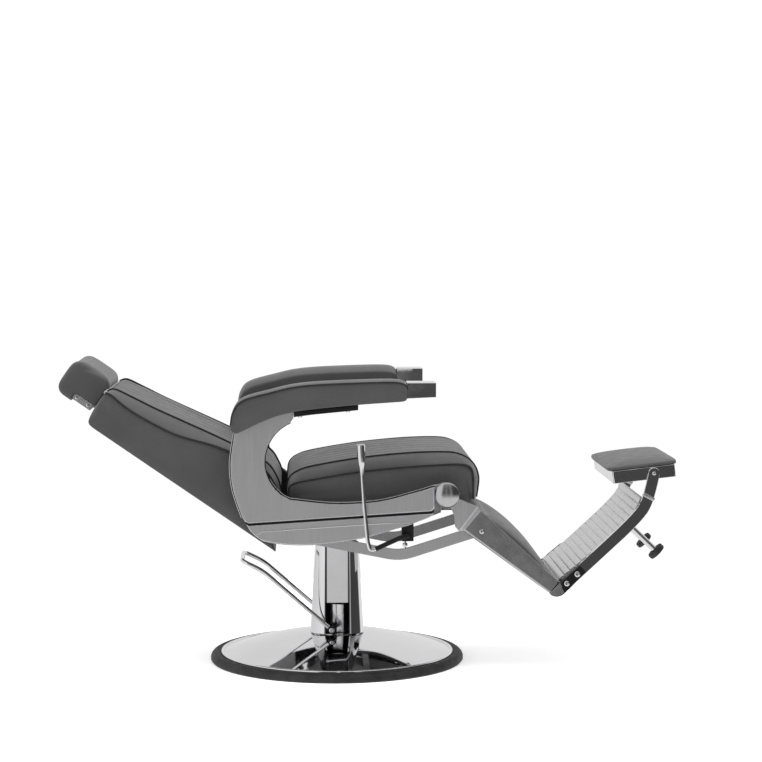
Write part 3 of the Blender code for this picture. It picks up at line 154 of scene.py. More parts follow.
path = tree.nodes.new("ShaderNodeLightPath")
plain = blend(path.outputs["Is Camera Ray"], tone(AMBIENT), tone(BACKDROP))
seen = blend(path.outputs["Is Glossy Ray"], plain, mirrored)
feed(tree.nodes["Background"], {"Color": seen})
world.cycles.sampling_method = "NONE"

lamp = put("overhead_lamp", bpy.data.lights.new("overhead_lamp", "AREA"))
lamp.data.shape = "RECTANGLE"
lamp.data.size, lamp.data.size_y = LAMP_SIZE
lamp.data.energy = LAMP_POWER
lamp.location = LAMP_AT
lamp.visible_camera = lamp.visible_glossy = False
print("room with", len(ROOM), "bearings, lamp of", lamp.data.energy, "W")

# %% [markdown]
# ## Finishes
# A finish is a Principled shader whose colour, roughness and bump come from procedural textures. The
# textures read Object coordinates, which are metres here because each piece's object sits at the origin, so
# a scale of 1000 means one pattern per millimetre. Small helpers keep the node code readable: one makes the
# shader, one makes a noise field, three more lead that field to the colour, the roughness or the bump, and the
# last one joins them for the grey finishes.

# %% Finish helpers
def shader_of(finish):
    return finish.node_tree.nodes["Principled BSDF"]


def new_finish(name, colour, roughness, metallic=0.0, **sockets):
    made = bpy.data.materials.new(name)
    made.use_nodes = True
    feed(shader_of(made), {"Base Color": (*colour, 1), "Roughness": roughness, "Metallic": metallic})
    feed(shader_of(made), {socket.replace("_", " "): value for socket, value in sockets.items()})
    return made


def field(finish, scale, stretch=(1, 1, 1), detail=3.0, kind="ShaderNodeTexNoise"):
    """A noise over the piece, drawn out along an axis where its stretch is small."""
    nodes = finish.node_tree.nodes
    place = nodes.new("ShaderNodeTexCoord").outputs["Object"]
    drawn = feed(nodes.new("ShaderNodeMapping"), {"Scale": stretch, "Vector": place}).outputs["Vector"]
    noise = feed(nodes.new(kind), {"Scale": scale, "Vector": drawn})
    if kind == "ShaderNodeTexVoronoi":
        return noise.outputs["Distance"]
    return feed(noise, {"Detail": detail}).outputs["Fac"]


def tint(finish, source, dark, light, low=0.35, high=0.65):
    """Colour between two tones."""
    ramp = feed(finish.node_tree.nodes.new("ShaderNodeValToRGB"), {"Fac": source})
    for stop, place, colour in zip(ramp.color_ramp.elements, (low, high), (dark, light)):
        stop.position = place
        stop.color = (*colour, 1)
    feed(shader_of(finish), {"Base Color": ramp.outputs["Color"]})


def polish(finish, source, low, high):
    """Roughness between two values."""
    span = feed(finish.node_tree.nodes.new("ShaderNodeMapRange"),
                {"Value": source, "From Min": 0.3, "From Max": 0.7, "To Min": low, "To Max": high})
    feed(shader_of(finish), {"Roughness": span.outputs["Result"]})


def emboss(finish, source, strength, depth):
    """Bump of so many metres; a second call lies on top of the first."""
    relief = feed(finish.node_tree.nodes.new("ShaderNodeBump"),
                  {"Strength": strength, "Distance": depth, "Height": source})
    under = shader_of(finish).inputs["Normal"].links
    if under:
        feed(relief, {"Normal": under[0].from_socket})
    feed(shader_of(finish), {"Normal": relief.outputs["Normal"]})


def grey(value):
    return (value, value, value * 1.015)


def worn(name, tone, roughness, metallic, grain, tones, smears, roughnesses, **sockets):
    """A grey finish whose tone and roughness wander; grain and smears are the settings of their fields."""
    made = new_finish(name, grey(tone), roughness, metallic, **sockets)
    tint(made, field(made, *grain), grey(tones[0]), grey(tones[1]))
    polish(made, field(made, *smears), *roughnesses)
    return made


# %% [markdown]
# The vinyl is a matte dark grey sheet with a pebbled leather grain about a millimetre across. Piping is the
# same sheet wrapped round a cord, near-black as painted shade along the seams. The board under the back is covered too.

# %% Upholstery finishes
EVEN = (1, 1, 1)
VINYL = worn("grained_vinyl", 0.060, 0.5, 0, (9, EVEN, 5), (0.055, 0.066), (45, EVEN, 4), (0.42, 0.56),
             Sheen_Weight=0.10, Sheen_Roughness=0.45)
emboss(VINYL, field(VINYL, 620, kind="ShaderNodeTexVoronoi"), 0.16, 0.0004)
emboss(VINYL, field(VINYL, 14, detail=2), 0.10, 0.0015)

# The dark piping's near-black tone is painted shade in the seams.
PIPING, PALE_PIPING = new_finish("piping_painted_shade", grey(0.012), 0.40), new_finish("pale_piping", grey(0.30), 0.42)
for cord, dark, light in ((PIPING, 0.008, 0.016), (PALE_PIPING, 0.26, 0.34)):
    tint(cord, field(cord, 60), grey(dark), grey(light))
    emboss(cord, field(cord, 900), 0.2, 0.0003)
print("upholstery finishes:", VINYL.name, PIPING.name, PALE_PIPING.name)

# %% [markdown]
# The C-shaped side panels, the skirts and the leg ears are aluminium brushed up and down: noise stretched
# along Z makes the fine streaks. The calf tray and the nose are smooth rolled sheet, and the tread is streaked
# across. Chrome is almost a mirror, with only faint smears in its roughness. Black paint has a slight orange
# peel, rubber is dull and grainy.

# %% Metal finishes
SATIN = new_finish("brushed_aluminium", grey(0.70), 0.36, 1.0)
tint(SATIN, field(SATIN, 620, (1, 1, 0.02), 6), grey(0.66), grey(0.74), 0.3, 0.7)
polish(SATIN, field(SATIN, 300, (1, 1, 0.03), 4), 0.34, 0.42)
emboss(SATIN, field(SATIN, 1100, (1, 1, 0.02), 3), 0.03, 0.0002)

RIBBED = worn("ribbed_aluminium", 0.68, 0.34, 1, (500, (1, 0.03, 1), 4), (0.64, 0.72), (60, EVEN, 3), (0.30, 0.38))
ROLLED = worn("rolled_aluminium", 0.54, 0.22, 1, (25, EVEN, 3), (0.52, 0.56), (40, EVEN, 4), (0.19, 0.25))
CHROME = worn("mirror_chrome", 0.80, 0.05, 1, (7, EVEN, 2), (0.78, 0.83), (26, EVEN, 4), (0.03, 0.07))
POLISHED = worn("polished_casting", 0.70, 0.14, 1, (30, EVEN, 3), (0.66, 0.74), (60, EVEN, 4), (0.10, 0.18))
NICKEL = worn("soft_chrome", 0.74, 0.28, 1, (30, EVEN, 3), (0.71, 0.77), (60, EVEN, 4), (0.24, 0.32))
STEEL = worn("mill_steel", 0.10, 0.40, 1, (40, EVEN, 5), (0.08, 0.13), (110, EVEN, 4), (0.32, 0.50))

BLACK = worn("black_enamel", 0.008, 0.42, 0, (25, EVEN, 3), (0.006, 0.010), (80, EVEN, 3), (0.36, 0.48),
             Specular_IOR_Level=0.22)
emboss(BLACK, field(BLACK, 700, detail=2), 0.06, 0.0003)

RUBBER = worn("grained_rubber", 0.016, 0.62, 0, (30, EVEN, 3), (0.012, 0.022), (90, EVEN, 3), (0.52, 0.72))
emboss(RUBBER, field(RUBBER, 1100, detail=3), 0.15, 0.0003)

# The plywood is near-black: painted shade for the underside of the seat, which the chrome dome mirrors.
PLYWOOD = new_finish("grained_plywood", (0.012, 0.011, 0.010), 0.62)
tint(PLYWOOD, field(PLYWOOD, 60, (0.08, 1, 1), 6), (0.009, 0.008, 0.007), (0.016, 0.014, 0.012))
polish(PLYWOOD, field(PLYWOOD, 80, (0.1, 1, 1), 4), 0.55, 0.70)
emboss(PLYWOOD, field(PLYWOOD, 240, (0.06, 1, 1), 4), 0.2, 0.0004)

FLOOR = new_finish("pale_floor", (0.95, 0.95, 0.95), 0.9, Emission_Strength=0.45)
tint(FLOOR, field(FLOOR, 3, detail=2), (0.945, 0.945, 0.945), (0.955, 0.955, 0.955))
print("metal finishes:", [m.name for m in (SATIN, RIBBED, ROLLED, CHROME, POLISHED, NICKEL, STEEL)])

# %% [markdown]
# ## Making a piece
# Every piece is a bmesh first. Its helper writes the mesh to an object at the origin, gives it its finish, shades it
# smooth with sharp creases, hangs it on the empty of the body it rides on, and hides the solids it stands for.


def as_mesh(name, shape):
    mesh = bpy.data.meshes.new(name)
    shape.to_mesh(mesh)
    shape.free()
    return mesh


def dress(name, shape, finish, body, stands_for=(), crease=32, flats=None):
    mesh = as_mesh(name, shape)
    mesh.materials.append(finish)
    mesh.shade_smooth()
    mesh.set_sharp_from_angle(angle=math.radians(crease))
    for face in mesh.polygons:
        face.use_smooth = not flats or face.area < flats
    made = put(name, mesh)
    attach(made, body)
    if stands_for:
        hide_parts(*stands_for)
    print(f"{name}: {len(mesh.polygons)} faces on {body}")
    return made


floor_shape = bmesh.new()
bmesh.ops.create_circle(floor_shape, cap_ends=True, segments=128, radius=FLOOR_RADIUS)
floor = put("floor", as_mesh("floor", floor_shape))
floor.data.materials.append(FLOOR)
floor.visible_glossy = False

# %% [markdown]
# ## Carried-over solids
# The inner ironwork is already the right shape, so its solids stay and only get their finish.

# %% Inner ironwork
# The pump body is chrome on the real chair; its dark steel here is painted shade inside the column.
INNER = {"base_plate": STEEL, "pump_body": STEEL, "lift_piston": CHROME, "swivel_hub": STEEL,
         "front_crossbar": STEEL, "rear_crossbar": STEEL, "seat_board": PLYWOOD, "strut_cylinder": BLACK,
         "strut_rod": CHROME, "link_rod": STEEL, "headrest_socket": STEEL}
for side, _ in SIDES:
    INNER.update({f"back_hinge_pin_{side}": STEEL, f"leg_hinge_pin_{side}": STEEL, f"back_arm_{side}": STEEL})
for node, finish in INNER.items():
    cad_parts[node].data.materials.clear()
    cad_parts[node].data.materials.append(finish)
print("carried over:", len(INNER), "solids")

# %% [markdown]
# ## Bevelled metal
# Real plate has a tiny rounded edge that catches the light. A copy of the solid is merged and its flat faces
# are joined, so that only true edges are left, and those sharper than a limit are bevelled.

# %% Bevelled copies of the plates
SHARP = math.radians(38)


def merged(name):
    shape = bmesh.new()
    shape.from_mesh(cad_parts[name].data)
    bmesh.ops.remove_doubles(shape, verts=shape.verts, dist=1e-5)
    bmesh.ops.dissolve_limit(shape, angle_limit=math.radians(1.0), verts=shape.verts, edges=shape.edges)
    return shape


def bevelled(shape, edges, width, segments, clamp=False):
    bmesh.ops.bevel(shape, geom=edges, offset=width, affect="EDGES", segments=segments, profile=0.5, material=-1,
                    clamp_overlap=clamp)
    return shape


def eased_edges(shape, width, segments):
    sharp = [e for e in shape.edges if len(e.link_faces) == 2 and e.calc_face_angle() > SHARP]
    return bevelled(shape, sharp, width, segments, clamp=True)


FRAME_OUT, FRAME_CUT, PANEL_OUT = 0.2837, 0.2847, 0.2920
FLAT_OVER = 3e-4
TRAY_CORNER, TRAY_CORNER_AT = 0.003, 0.175
CALF_SIDE, CALF_ROLL, CALF_LONG = 0.2045, 0.006, 0.15
ANKLE_TRIM, ANKLE_TRIM_UP = (0.5790, 0, 0.2475), (-0.634, 0, 0.773)
PLATES = {"lever_block": (BLACK, "seat", 0.0015), "headrest_post": (NICKEL, "post", 0.0010),
          "calf_tray": (ROLLED, "legrest", 0.0012), "foot_tray": (CHROME, "footrest", 0.0024),
          "pedal_shaft": (BLACK, "pedal", 0.0012)}
PAIRS = {"side_panel": (SATIN, "seat", 0.0017), "side_frame": (POLISHED, "seat", 0.0010),
         "arm_bracket": (BLACK, "seat", 0.0024), "arm_cap": (CHROME, "seat", 0.0012),
         "leg_ear": (SATIN, "legrest", 0.0010), "skirt_panel": (SATIN, "seat", 0.0014),
         "foot_bar": (CHROME, "legrest", 0.0010), "link": (SATIN, "links", 0.0010),
         "ankle_bracket": (BLACK, "legrest", 0.0012), "floor_leg": (CHROME, "legrest", 0.0008),
         "floor_foot": (RUBBER, "legrest", 0.0028)}
PLATES.update({f"{node}_{side}": look for side, _ in SIDES for node, look in PAIRS.items()})
for node, (finish, body, width) in PLATES.items():
    shape = merged(node)
    if node.startswith("side_frame"):
        for corner in shape.verts:
            if abs(corner.co.y) > FRAME_CUT:
                corner.co.y = math.copysign(FRAME_CUT, corner.co.y)
    if node == "foot_tray":
        corners = [e for e in shape.edges if abs(e.verts[0].co.y - e.verts[1].co.y) < 1e-4
                   and abs(e.verts[0].co.x - e.verts[1].co.x) < 0.01 and abs(e.verts[0].co.y) > TRAY_CORNER_AT]
        bevelled(shape, corners, TRAY_CORNER, 5)
    if node == "calf_tray":
        lower = [e for e in shape.edges if e.calc_length() > CALF_LONG and all(abs(v.co.y) > CALF_SIDE for v in e.verts)
                 and all(f.normal.z < 0.9 for f in e.link_faces) and any(f.normal.z < -0.5 for f in e.link_faces)]
        bevelled(shape, lower, CALF_ROLL, 7)
    if node == "ankle_bracket_far":
        bmesh.ops.bisect_plane(shape, geom=shape.verts[:] + shape.edges[:] + shape.faces[:], dist=1e-6,
                               plane_co=ANKLE_TRIM, plane_no=ANKLE_TRIM_UP, clear_outer=True)
        bmesh.ops.holes_fill(shape, edges=[e for e in shape.edges if e.is_boundary])
        bmesh.ops.recalc_face_normals(shape, faces=shape.faces)
    eased_edges(shape, width, 1 if width < 0.002 else 3)
    made = dress(node + "_bevelled", shape, finish, body, [node], crease=28,
                 flats=None if node.startswith("floor_") else FLAT_OVER)
    # Inward faces turn black on the side frames and darker rolled aluminium on the links: painted shade inside the
    # chair.
    if node.startswith(("side_frame", "link_")):
        made.data.materials.append(ROLLED if node.startswith("link_") else BLACK)
        for face in made.data.polygons:
            if face.normal.y * face.center.y < 0 and abs(face.normal.y) > 0.5:
                face.material_index = 1

# %% [markdown]
# ## Base
# The base is turned on a lathe in real life, and a spin does the same here: a few points of the outline go
# once round the upright axis. More steps than the solid has keep the mirror smooth.

# %% Turned base
TURNS = 160


def lathe(profile, steps=TURNS, closed=True):
    shape = bmesh.new()
    line = [shape.verts.new((r, 0, z)) for r, z in profile]
    edges = [shape.edges.new(pair) for pair in zip(line, line[1:] + (line[:1] if closed else []))]
    bmesh.ops.spin(shape, geom=line + edges, axis=(0, 0, 1), cent=(0, 0, 0), angle=math.tau, steps=steps,
                   use_merge=True)
    bmesh.ops.remove_doubles(shape, verts=shape.verts, dist=1e-6)
    bmesh.ops.recalc_face_normals(shape, faces=shape.faces)
    return shape


RING_IN, RING_OUT = 0.2985, 0.325
ring = lathe([(RING_IN, 0), (RING_OUT - 0.003, 0), (RING_OUT, 0.004), (RING_OUT, 0.0104), (RING_OUT - 0.0017, 0.015),
              (RING_OUT - 0.005, 0.0189), (RING_OUT - 0.009, 0.0216), (RING_OUT - 0.013, 0.023),
              (RING_OUT - 0.019, 0.0224), (RING_IN, 0.0198)])
dress("floor_ring_moulded", ring, RUBBER, "base", ["floor_ring"])
DOME_FOOT, DOME_HEAD = Vector((0.2982, 0.0200)), Vector((0.0760, 0.0725))
DOME_SWELL, DOME_STEPS = Vector((0, 0.0055)), 40
cone = [tuple(DOME_FOOT.lerp(DOME_HEAD, t) + DOME_SWELL * 4 * t * (1 - t))
        for t in (k / DOME_STEPS for k in range(DOME_STEPS + 1))]
DOME_INSIDE = [(0.0404, 0.0725), (0.0404, 0.070), (0.074, 0.070), (0.2955, 0.0146), (0.2955, 0.0084), (0.2982, 0.0084)]
dome = lathe(cone + DOME_INSIDE)
dress("base_dome_spun", dome, CHROME, "base", ["base_dome"], crease=50)
COLLAR = [(0.0402, 0.0729), (0.0690, 0.0729), (0.0700, 0.0736), (0.0698, 0.0744), (0.0686, 0.0749), (0.0402, 0.0749)]
dress("base_collar_spun", lathe(COLLAR), CHROME, "base", ["base_collar"])
RIM_AT, RIM_HIGH, RIM_THICK, RIM_POINTS = 0.2948, 0.0222, 0.0040, 12
turns = [math.tau * k / RIM_POINTS for k in range(RIM_POINTS)]
bead = lathe([(RIM_AT + RIM_THICK * math.cos(a), RIM_HIGH + RIM_THICK * math.sin(a)) for a in turns])
dress("base_rim_rolled", bead, CHROME, "base", crease=50)

# %% [markdown]
# The column cover is a tapered tube, square with wide round corners, and has an opening at the front and the
# back for the pedal's shaft. A square loop gets its corners rounded by a bevel, is extruded up, and its upper
# corners are drawn in towards the flats. A block cuts the openings.

# %% Column cover
COVER_LOW, COVER_TOP, COVER_FLAT, COVER_FOOT, COVER_HEAD = 0.0753, 0.2996, 0.0265, 0.0685, 0.0555
COVER_SHEET, OPENING = 0.0022, ((-0.030, -0.1, 0.06), (0.030, 0.1, 0.1553))
cover = bmesh.new()
bmesh.ops.create_circle(cover, cap_ends=False, segments=4, radius=COVER_FOOT * math.sqrt(2),
                        matrix=Matrix.Translation((0, 0, COVER_LOW)) @ Matrix.Rotation(math.pi / 4, 4, "Z"))
bmesh.ops.bevel(cover, geom=cover.verts[:], offset=COVER_FOOT - COVER_FLAT, offset_type="OFFSET", affect="VERTICES",
                segments=14, profile=0.5, material=-1)
lower = cover.edges[:]
for height in (0.35, 0.7, 1.0):
    grown = bmesh.ops.extrude_edge_only(cover, edges=lower)["geom"]
    lower = [e for e in grown if isinstance(e, bmesh.types.BMEdge)]
    draw = ((COVER_HEAD - COVER_FLAT) / (COVER_FOOT - COVER_FLAT) - 1) * height + 1
    for corner in (v for v in grown if isinstance(v, bmesh.types.BMVert)):
        flat = Vector([min(max(c, -COVER_FLAT), COVER_FLAT) for c in corner.co.xy])
        foot = Vector((corner.co.x, corner.co.y)) - flat
        corner.co.z = COVER_LOW + (COVER_TOP - COVER_LOW) * height
        corner.co.xy = flat + foot.normalized() * (COVER_FOOT - COVER_FLAT) * draw
bmesh.ops.recalc_face_normals(cover, faces=cover.faces)
bmesh.ops.solidify(cover, geom=cover.faces[:], thickness=COVER_SHEET)
column = dress("column_cover_tapered", cover, CHROME, "base", ["column_cover"], crease=40, flats=1e-3)

# %% Openings of the column
def settled(piece):
    """Mesh of an object as its curve or modifiers shape it."""
    bpy.context.view_layer.update()
    return bpy.data.meshes.new_from_object(piece.evaluated_get(bpy.context.evaluated_depsgraph_get()))


def cut(target, shape):
    """Cut a bmesh out of a piece and keep the result as its mesh."""
    tool = put("tool", as_mesh("tool", shape))
    step = target.modifiers.new("cut", "BOOLEAN")
    step.object = tool
    step.solver = "EXACT"
    finished = settled(target)
    target.modifiers.clear()
    target.data = finished
    bpy.data.objects.remove(tool, do_unlink=True)


def joined(shapes):
    whole = bmesh.new()
    for shape in shapes:
        part = as_mesh("part", shape)
        whole.from_mesh(part)
        bpy.data.meshes.remove(part)
    return whole


def block(low, high, bevel=0.0):
    shape = bmesh.new()
    low, high = Vector(low), Vector(high)
    bmesh.ops.create_cube(shape, size=1)
    bmesh.ops.scale(shape, verts=shape.verts, vec=high - low)
    bmesh.ops.translate(shape, verts=shape.verts, vec=(low + high) / 2)
    if bevel:
        eased_edges(shape, bevel, 3)
    return shape


def placed(shape, spot, turn):
    """A shape turned and moved to its spot."""
    bmesh.ops.transform(shape, verts=shape.verts, matrix=Matrix.Translation(spot) @ turn)
    return shape


cut(column, block(*OPENING))
print("column cover:", len(column.data.polygons), "faces after its openings")
STRIP_TURN, STRIP_AT, STRIP_EDGE = math.radians(-15), Vector((0.002, -0.046, 0)), 0.0005
STRIP = ((-0.0035, -0.001, 0.0765), (0.0145, 0.001, 0.1480)), ((-0.0145, -0.001, 0.1010), (-0.0035, 0.001, 0.1480))
for face, sign in (("front", 1), ("rear", -1)):
    strip = joined([block(low, high, STRIP_EDGE) for low, high in STRIP])
    placed(strip, STRIP_AT, Matrix.Rotation(STRIP_TURN, 4, "Z"))
    bmesh.ops.scale(strip, verts=strip.verts, vec=(1, sign, 1))
    bmesh.ops.recalc_face_normals(strip, faces=strip.faces)
    dress(f"pump_guard_{face}", strip, NICKEL, "base")

# %% [markdown]
# ## Rods
# The pedal and the hand lever are bent round bars. A curve with a round bevel follows the route through
# eased corners, and is turned into a mesh, so it bakes and rides like any other piece.

# %% Bent rods
def eased_route(points, reach, steps=8):
    spots = [Vector(p) for p in points]
    route = [spots[0]]
    for before, corner, after in zip(spots, spots[1:], spots[2:]):
        start = corner + (before - corner).normalized() * reach
        end = corner + (after - corner).normalized() * reach
        for k in range(steps + 1):
            t = k / steps
            route.append(start * (1 - t) ** 2 + corner * 2 * t * (1 - t) + end * t ** 2)
    return route + [spots[-1]]


def tube(name, route, radius, finish, body, stands_for=(), scales=None, closed=False, round_steps=5):
    curve = bpy.data.curves.new(name, "CURVE")
    curve.dimensions = "3D"
    curve.bevel_depth = radius
    curve.bevel_resolution = round_steps
    curve.use_fill_caps = True
    track = curve.splines.new("POLY")
    track.points.add(len(route) - 1)
    track.use_cyclic_u = closed
    for k, spot in enumerate(route):
        track.points[k].co = (*spot, 1)
        track.points[k].radius = scales[k] if scales else 1.0
    line = put(name + "_line", curve)
    mesh = settled(line)
    bpy.data.objects.remove(line, do_unlink=True)
    shape = bmesh.new()
    shape.from_mesh(mesh)
    bmesh.ops.remove_doubles(shape, verts=shape.verts, dist=1e-6)
    return dress(name, shape, finish, body, stands_for, crease=50)


PEDAL = Vector((-0.0145, 0, 0.0883))
PEDAL_HALF, PEDAL_START, PEDAL_BEND, PEDAL_ROD = Vector((0, 0.0815, 0)), 0.0108, 0.022, 0.0054
rise, foot = Vector((-0.1755, 0, 0.1530)), Vector((-0.2270, 0, 0.1780))
start = rise.normalized() * PEDAL_START
ends = [PEDAL - PEDAL_HALF + p for p in (start, rise, foot)] + [PEDAL + PEDAL_HALF + p for p in (foot, rise, start)]
tube("pedal_lever_bent", eased_route(ends, PEDAL_BEND), PEDAL_ROD, CHROME, "pedal", ["pedal_lever"])

DECK = 0.3726
LEVER_Y, LEVER_ROD, LEVER_BEND, SHAFT_Y = -0.3035, 0.005, 0.0095, -0.274
LEVER = ((0.1680, -0.0145), (0.1530, -0.0165), (0.0770, -0.0510), (0.0700, -0.0270), (0.0605, 0.073), (0.0570, 0.128))
LEVER_GRIP = Vector((0.0530, LEVER_Y, 0.211 + DECK))


def upright(points, y):
    """Points of a side's plane, given in x and height above the deck."""
    return [Vector((x, y, z + DECK)) for x, z in points]


route = eased_route(upright(LEVER[:1], SHAFT_Y) + upright(LEVER, LEVER_Y), LEVER_BEND)
SWELL = ((0.10, 1.0), (0.30, 1.35), (0.36, 1.55), (0.38, 1.75), (0.50, 1.95), (0.75, 2.1), (0.965, 2.1), (0.99, 1.95),
         (1.0, 1.7))
neck = route[-1]
scales = [1.0] * len(route) + [s for t, s in SWELL]
route += [neck.lerp(LEVER_GRIP, t) for t, s in SWELL]
tube("recline_lever_bent", route, LEVER_ROD, CHROME, "lever", ["recline_lever"], scales)

# %% [markdown]
# ## Trim on the side frames
# The cast frame looks out round the satin panels as a bright edge with a shaded groove beside it. Thin rods
# along the panel's outline draw both lines: polished rods the edge, and black rods that are painted shade in the
# groove. A black strip is painted shade in the gap above the skirt, and the skirt carries a raised leaf whose
# upper edge catches the light. The front of the frame ends in a polished dome.

# %% Trim lines
def spline(points, share):
    """Point at a share (0 to 1) of a smooth curve through the given points."""
    last = len(points) - 1
    place = min(max(share, 0.0), 1.0) * last
    start = min(int(place), last - 1)
    t = place - start
    four = [Vector(points[min(max(start + k, 0), last)]) for k in (-1, 0, 1, 2)]
    slope_in, slope_out, rise = (four[2] - four[0]) / 2, (four[3] - four[1]) / 2, four[2] - four[1]
    return (four[1] + slope_in * t + (3 * rise - 2 * slope_in - slope_out) * t ** 2
            + (slope_in + slope_out - 2 * rise) * t ** 3)


def side_line(points, y, shift, steps=40):
    """Smooth line in a side's plane through points given in x and height above the deck, moved by a shift."""
    return upright([spline(points, k / steps) + Vector(shift) for k in range(steps + 1)], y)


def round_line(centre, radius, start, end, y, steps=24):
    """Arc in a side's plane, in degrees."""
    turns = [math.radians(start + (end - start) * k / steps) for k in range(steps + 1)]
    return upright([(centre[0] + radius * math.cos(a), centre[1] + radius * math.sin(a)) for a in turns], y)


REAR_EDGE = ((-0.252, 0.2385), (-0.256, 0.219), (-0.263, 0.162), (-0.259, 0.110), (-0.249, 0.072), (-0.234, 0.030))
RAIL_TOP = ((-0.119, 0.0745), (-0.022, 0.064), (0.055, 0.065), (0.114, 0.072), (0.191, 0.092), (0.234, 0.105))
MOUTH_CENTRE, MOUTH_RADIUS = (-0.077, 0.168), 0.1035
NOSE_RIM_CENTRE, NOSE_RIM_RADIUS = (0.262, 0.081), 0.0325
GROOVE_SHADE, RIM, FOOT_RIM = 0.0016, 0.0016, 0.0011
GROOVE_SHADE_OUT, RIM_OUT, GROOVE_SHADE_SHIFT, RIM_SHIFT = FRAME_OUT + 0.003, FRAME_OUT - 0.001, 0.0008, 0.0030
PANEL_FOOT = ((-0.2190, 0.0188), (0.2220, 0.0466), (0.2290, 0.0492), (0.2322, 0.0560), (0.2318, 0.0750),
              (0.2326, 0.0980))
for side, sign in SIDES:
    front, rear = sign * GROOVE_SHADE_OUT, sign * RIM_OUT
    mouth = round_line(MOUTH_CENTRE, MOUTH_RADIUS - GROOVE_SHADE_SHIFT, 113, 240, front)
    rail = round_line(MOUTH_CENTRE, MOUTH_RADIUS - RIM_SHIFT, 205, 238, rear)
    rail += side_line(RAIL_TOP, rear, (0, RIM_SHIFT))
    rail += round_line(NOSE_RIM_CENTRE, NOSE_RIM_RADIUS, 120, 0, rear)
    # The black groove rods are painted shade in the gap between the frame's rim and the panel.
    for name, line, radius, finish in (
            ("rear_groove_shade", side_line(REAR_EDGE, front, (-GROOVE_SHADE_SHIFT, 0)), GROOVE_SHADE, BLACK),
            ("rear_rim", side_line(REAR_EDGE, rear, (-RIM_SHIFT, 0)), RIM, POLISHED),
            ("mouth_groove_shade", mouth + side_line(RAIL_TOP, front, (0, GROOVE_SHADE_SHIFT)), GROOVE_SHADE, BLACK),
            ("rail_rim", rail, RIM, POLISHED),
            ("panel_foot_rim", eased_route(upright(PANEL_FOOT, sign * PANEL_OUT), 0.003, 3), FOOT_RIM, CHROME)):
        tube(f"{name}_{side}", line, radius, finish, "seat", round_steps=2)


# %% Painted-shade gap strip, skirt leaf and nose
def plate(outline, inner, outer):
    """Outline in x and z, given its thickness along Y."""
    shape = bmesh.new()
    face = shape.faces.new([shape.verts.new((x, inner, z)) for x, z in outline])
    grown = bmesh.ops.extrude_face_region(shape, geom=[face])["geom"]
    bmesh.ops.translate(shape, verts=[v for v in grown if isinstance(v, bmesh.types.BMVert)], vec=(0, outer - inner, 0))
    bmesh.ops.recalc_face_normals(shape, faces=shape.faces)
    return shape


def turned(profile, spot, facing, steps=24):
    """Open outline turned about its own axis and set on a spot, facing a direction."""
    turn = Vector(facing).to_track_quat("Z", "Y").to_matrix().to_4x4()
    return placed(lathe(profile, steps, closed=False), spot, turn)


def sheet_metal(name, outline, inner, outer, bevel, finish, body):
    """A flat plate with eased edges."""
    dress(name, eased_edges(plate(outline, inner, outer), bevel, 1), finish, body, crease=28, flats=FLAT_OVER)


GAP_SHADE = ((-0.2280, 0.0235), (-0.2270, 0.0160), (-0.2190, 0.0108), (0.2260, 0.0388), (0.2330, 0.0440), (0.2330, 0.0520),
       (0.2260, 0.0455), (-0.2190, 0.0175))
LEAF_TOP = ((-0.1990, -0.0105), (-0.1860, -0.0036), (-0.0635, 0.0046), (0.0590, 0.0124), (0.1280, 0.0164),
            (0.1640, 0.0174))
LEAF_FOOT = ((0.1790, 0.0138), (0.1140, -0.0036), (0.0590, -0.0183), (-0.0030, -0.0282), (-0.0660, -0.0340),
             (-0.1280, -0.0330), (-0.1840, -0.0235), (-0.1990, -0.0135))
LEAF_RIM = 0.0010
NOSE = Vector((0.2645, 0, 0.4575))
NOSE_DOME = ((0.0302, -0.004), (0.0302, 0.0034), (0.0296, 0.0044), (0.0262, 0.0062), (0.0215, 0.0084), (0.0164, 0.0101),
             (0.0110, 0.0112), (0.0054, 0.0118), (0, 0.0120))
for side, sign in SIDES:
    # The black strip in the gap between the panel and the skirt is painted shade.
    dress(f"skirt_gap_painted_shade_{side}", plate([(x, z + DECK) for x, z in GAP_SHADE], sign * (FRAME_OUT + 0.0002),
                                           sign * (FRAME_OUT + 0.0040)), BLACK, "seat", flats=FLAT_OVER)
    leaf = [(x, z + DECK) for x, z in LEAF_TOP]
    leaf += [(p.x, p.y + DECK) for p in (spline(LEAF_FOOT, k / 24) for k in range(25))]
    rim = [Vector((x, sign * (PANEL_OUT + 0.0012), z)) for x, z in leaf]
    sheet_metal(f"skirt_leaf_{side}", leaf, sign * (PANEL_OUT - 0.001), sign * (PANEL_OUT + 0.0014), 0.0010, SATIN,
                "seat")
    tube(f"skirt_leaf_rim_{side}", rim, LEAF_RIM, CHROME, "seat", closed=True, round_steps=2)
    dome = turned(NOSE_DOME, NOSE + Vector((0, sign * FRAME_OUT, 0)), (0, sign, -0.03), 64)
    dress(f"nose_dome_{side}", dome, ROLLED, "seat", crease=60)

# %% [markdown]
# ## Fasteners
# Bolts have a button head with a socket. One outline is turned for each of them, and all the bolts of a body
# make one piece. A knurled screw hangs under the lever's block, and a bright clip goes round each foot bar.
# Small plates close the ankle and the top of the calf tray, and a black tube on the lever's lower arm is painted shade.

# %% Fasteners
BOLT = ((1.0, 0.0), (1.0, 0.40), (0.90, 0.78), (0.70, 1.0), (0.44, 1.0), (0.38, 0.45), (0, 0.40))
BACK_UP, BACK_OUT = Vector((-0.82314, 0, 0.56784)), Vector((0.56784, 0, 0.82314))
HEAD_AT = Vector((-0.65304, 0, 0.68744))


def bolt(spot, facing, radius, height):
    return turned([(r * radius, h * height) for r, h in BOLT], spot, facing, 20)


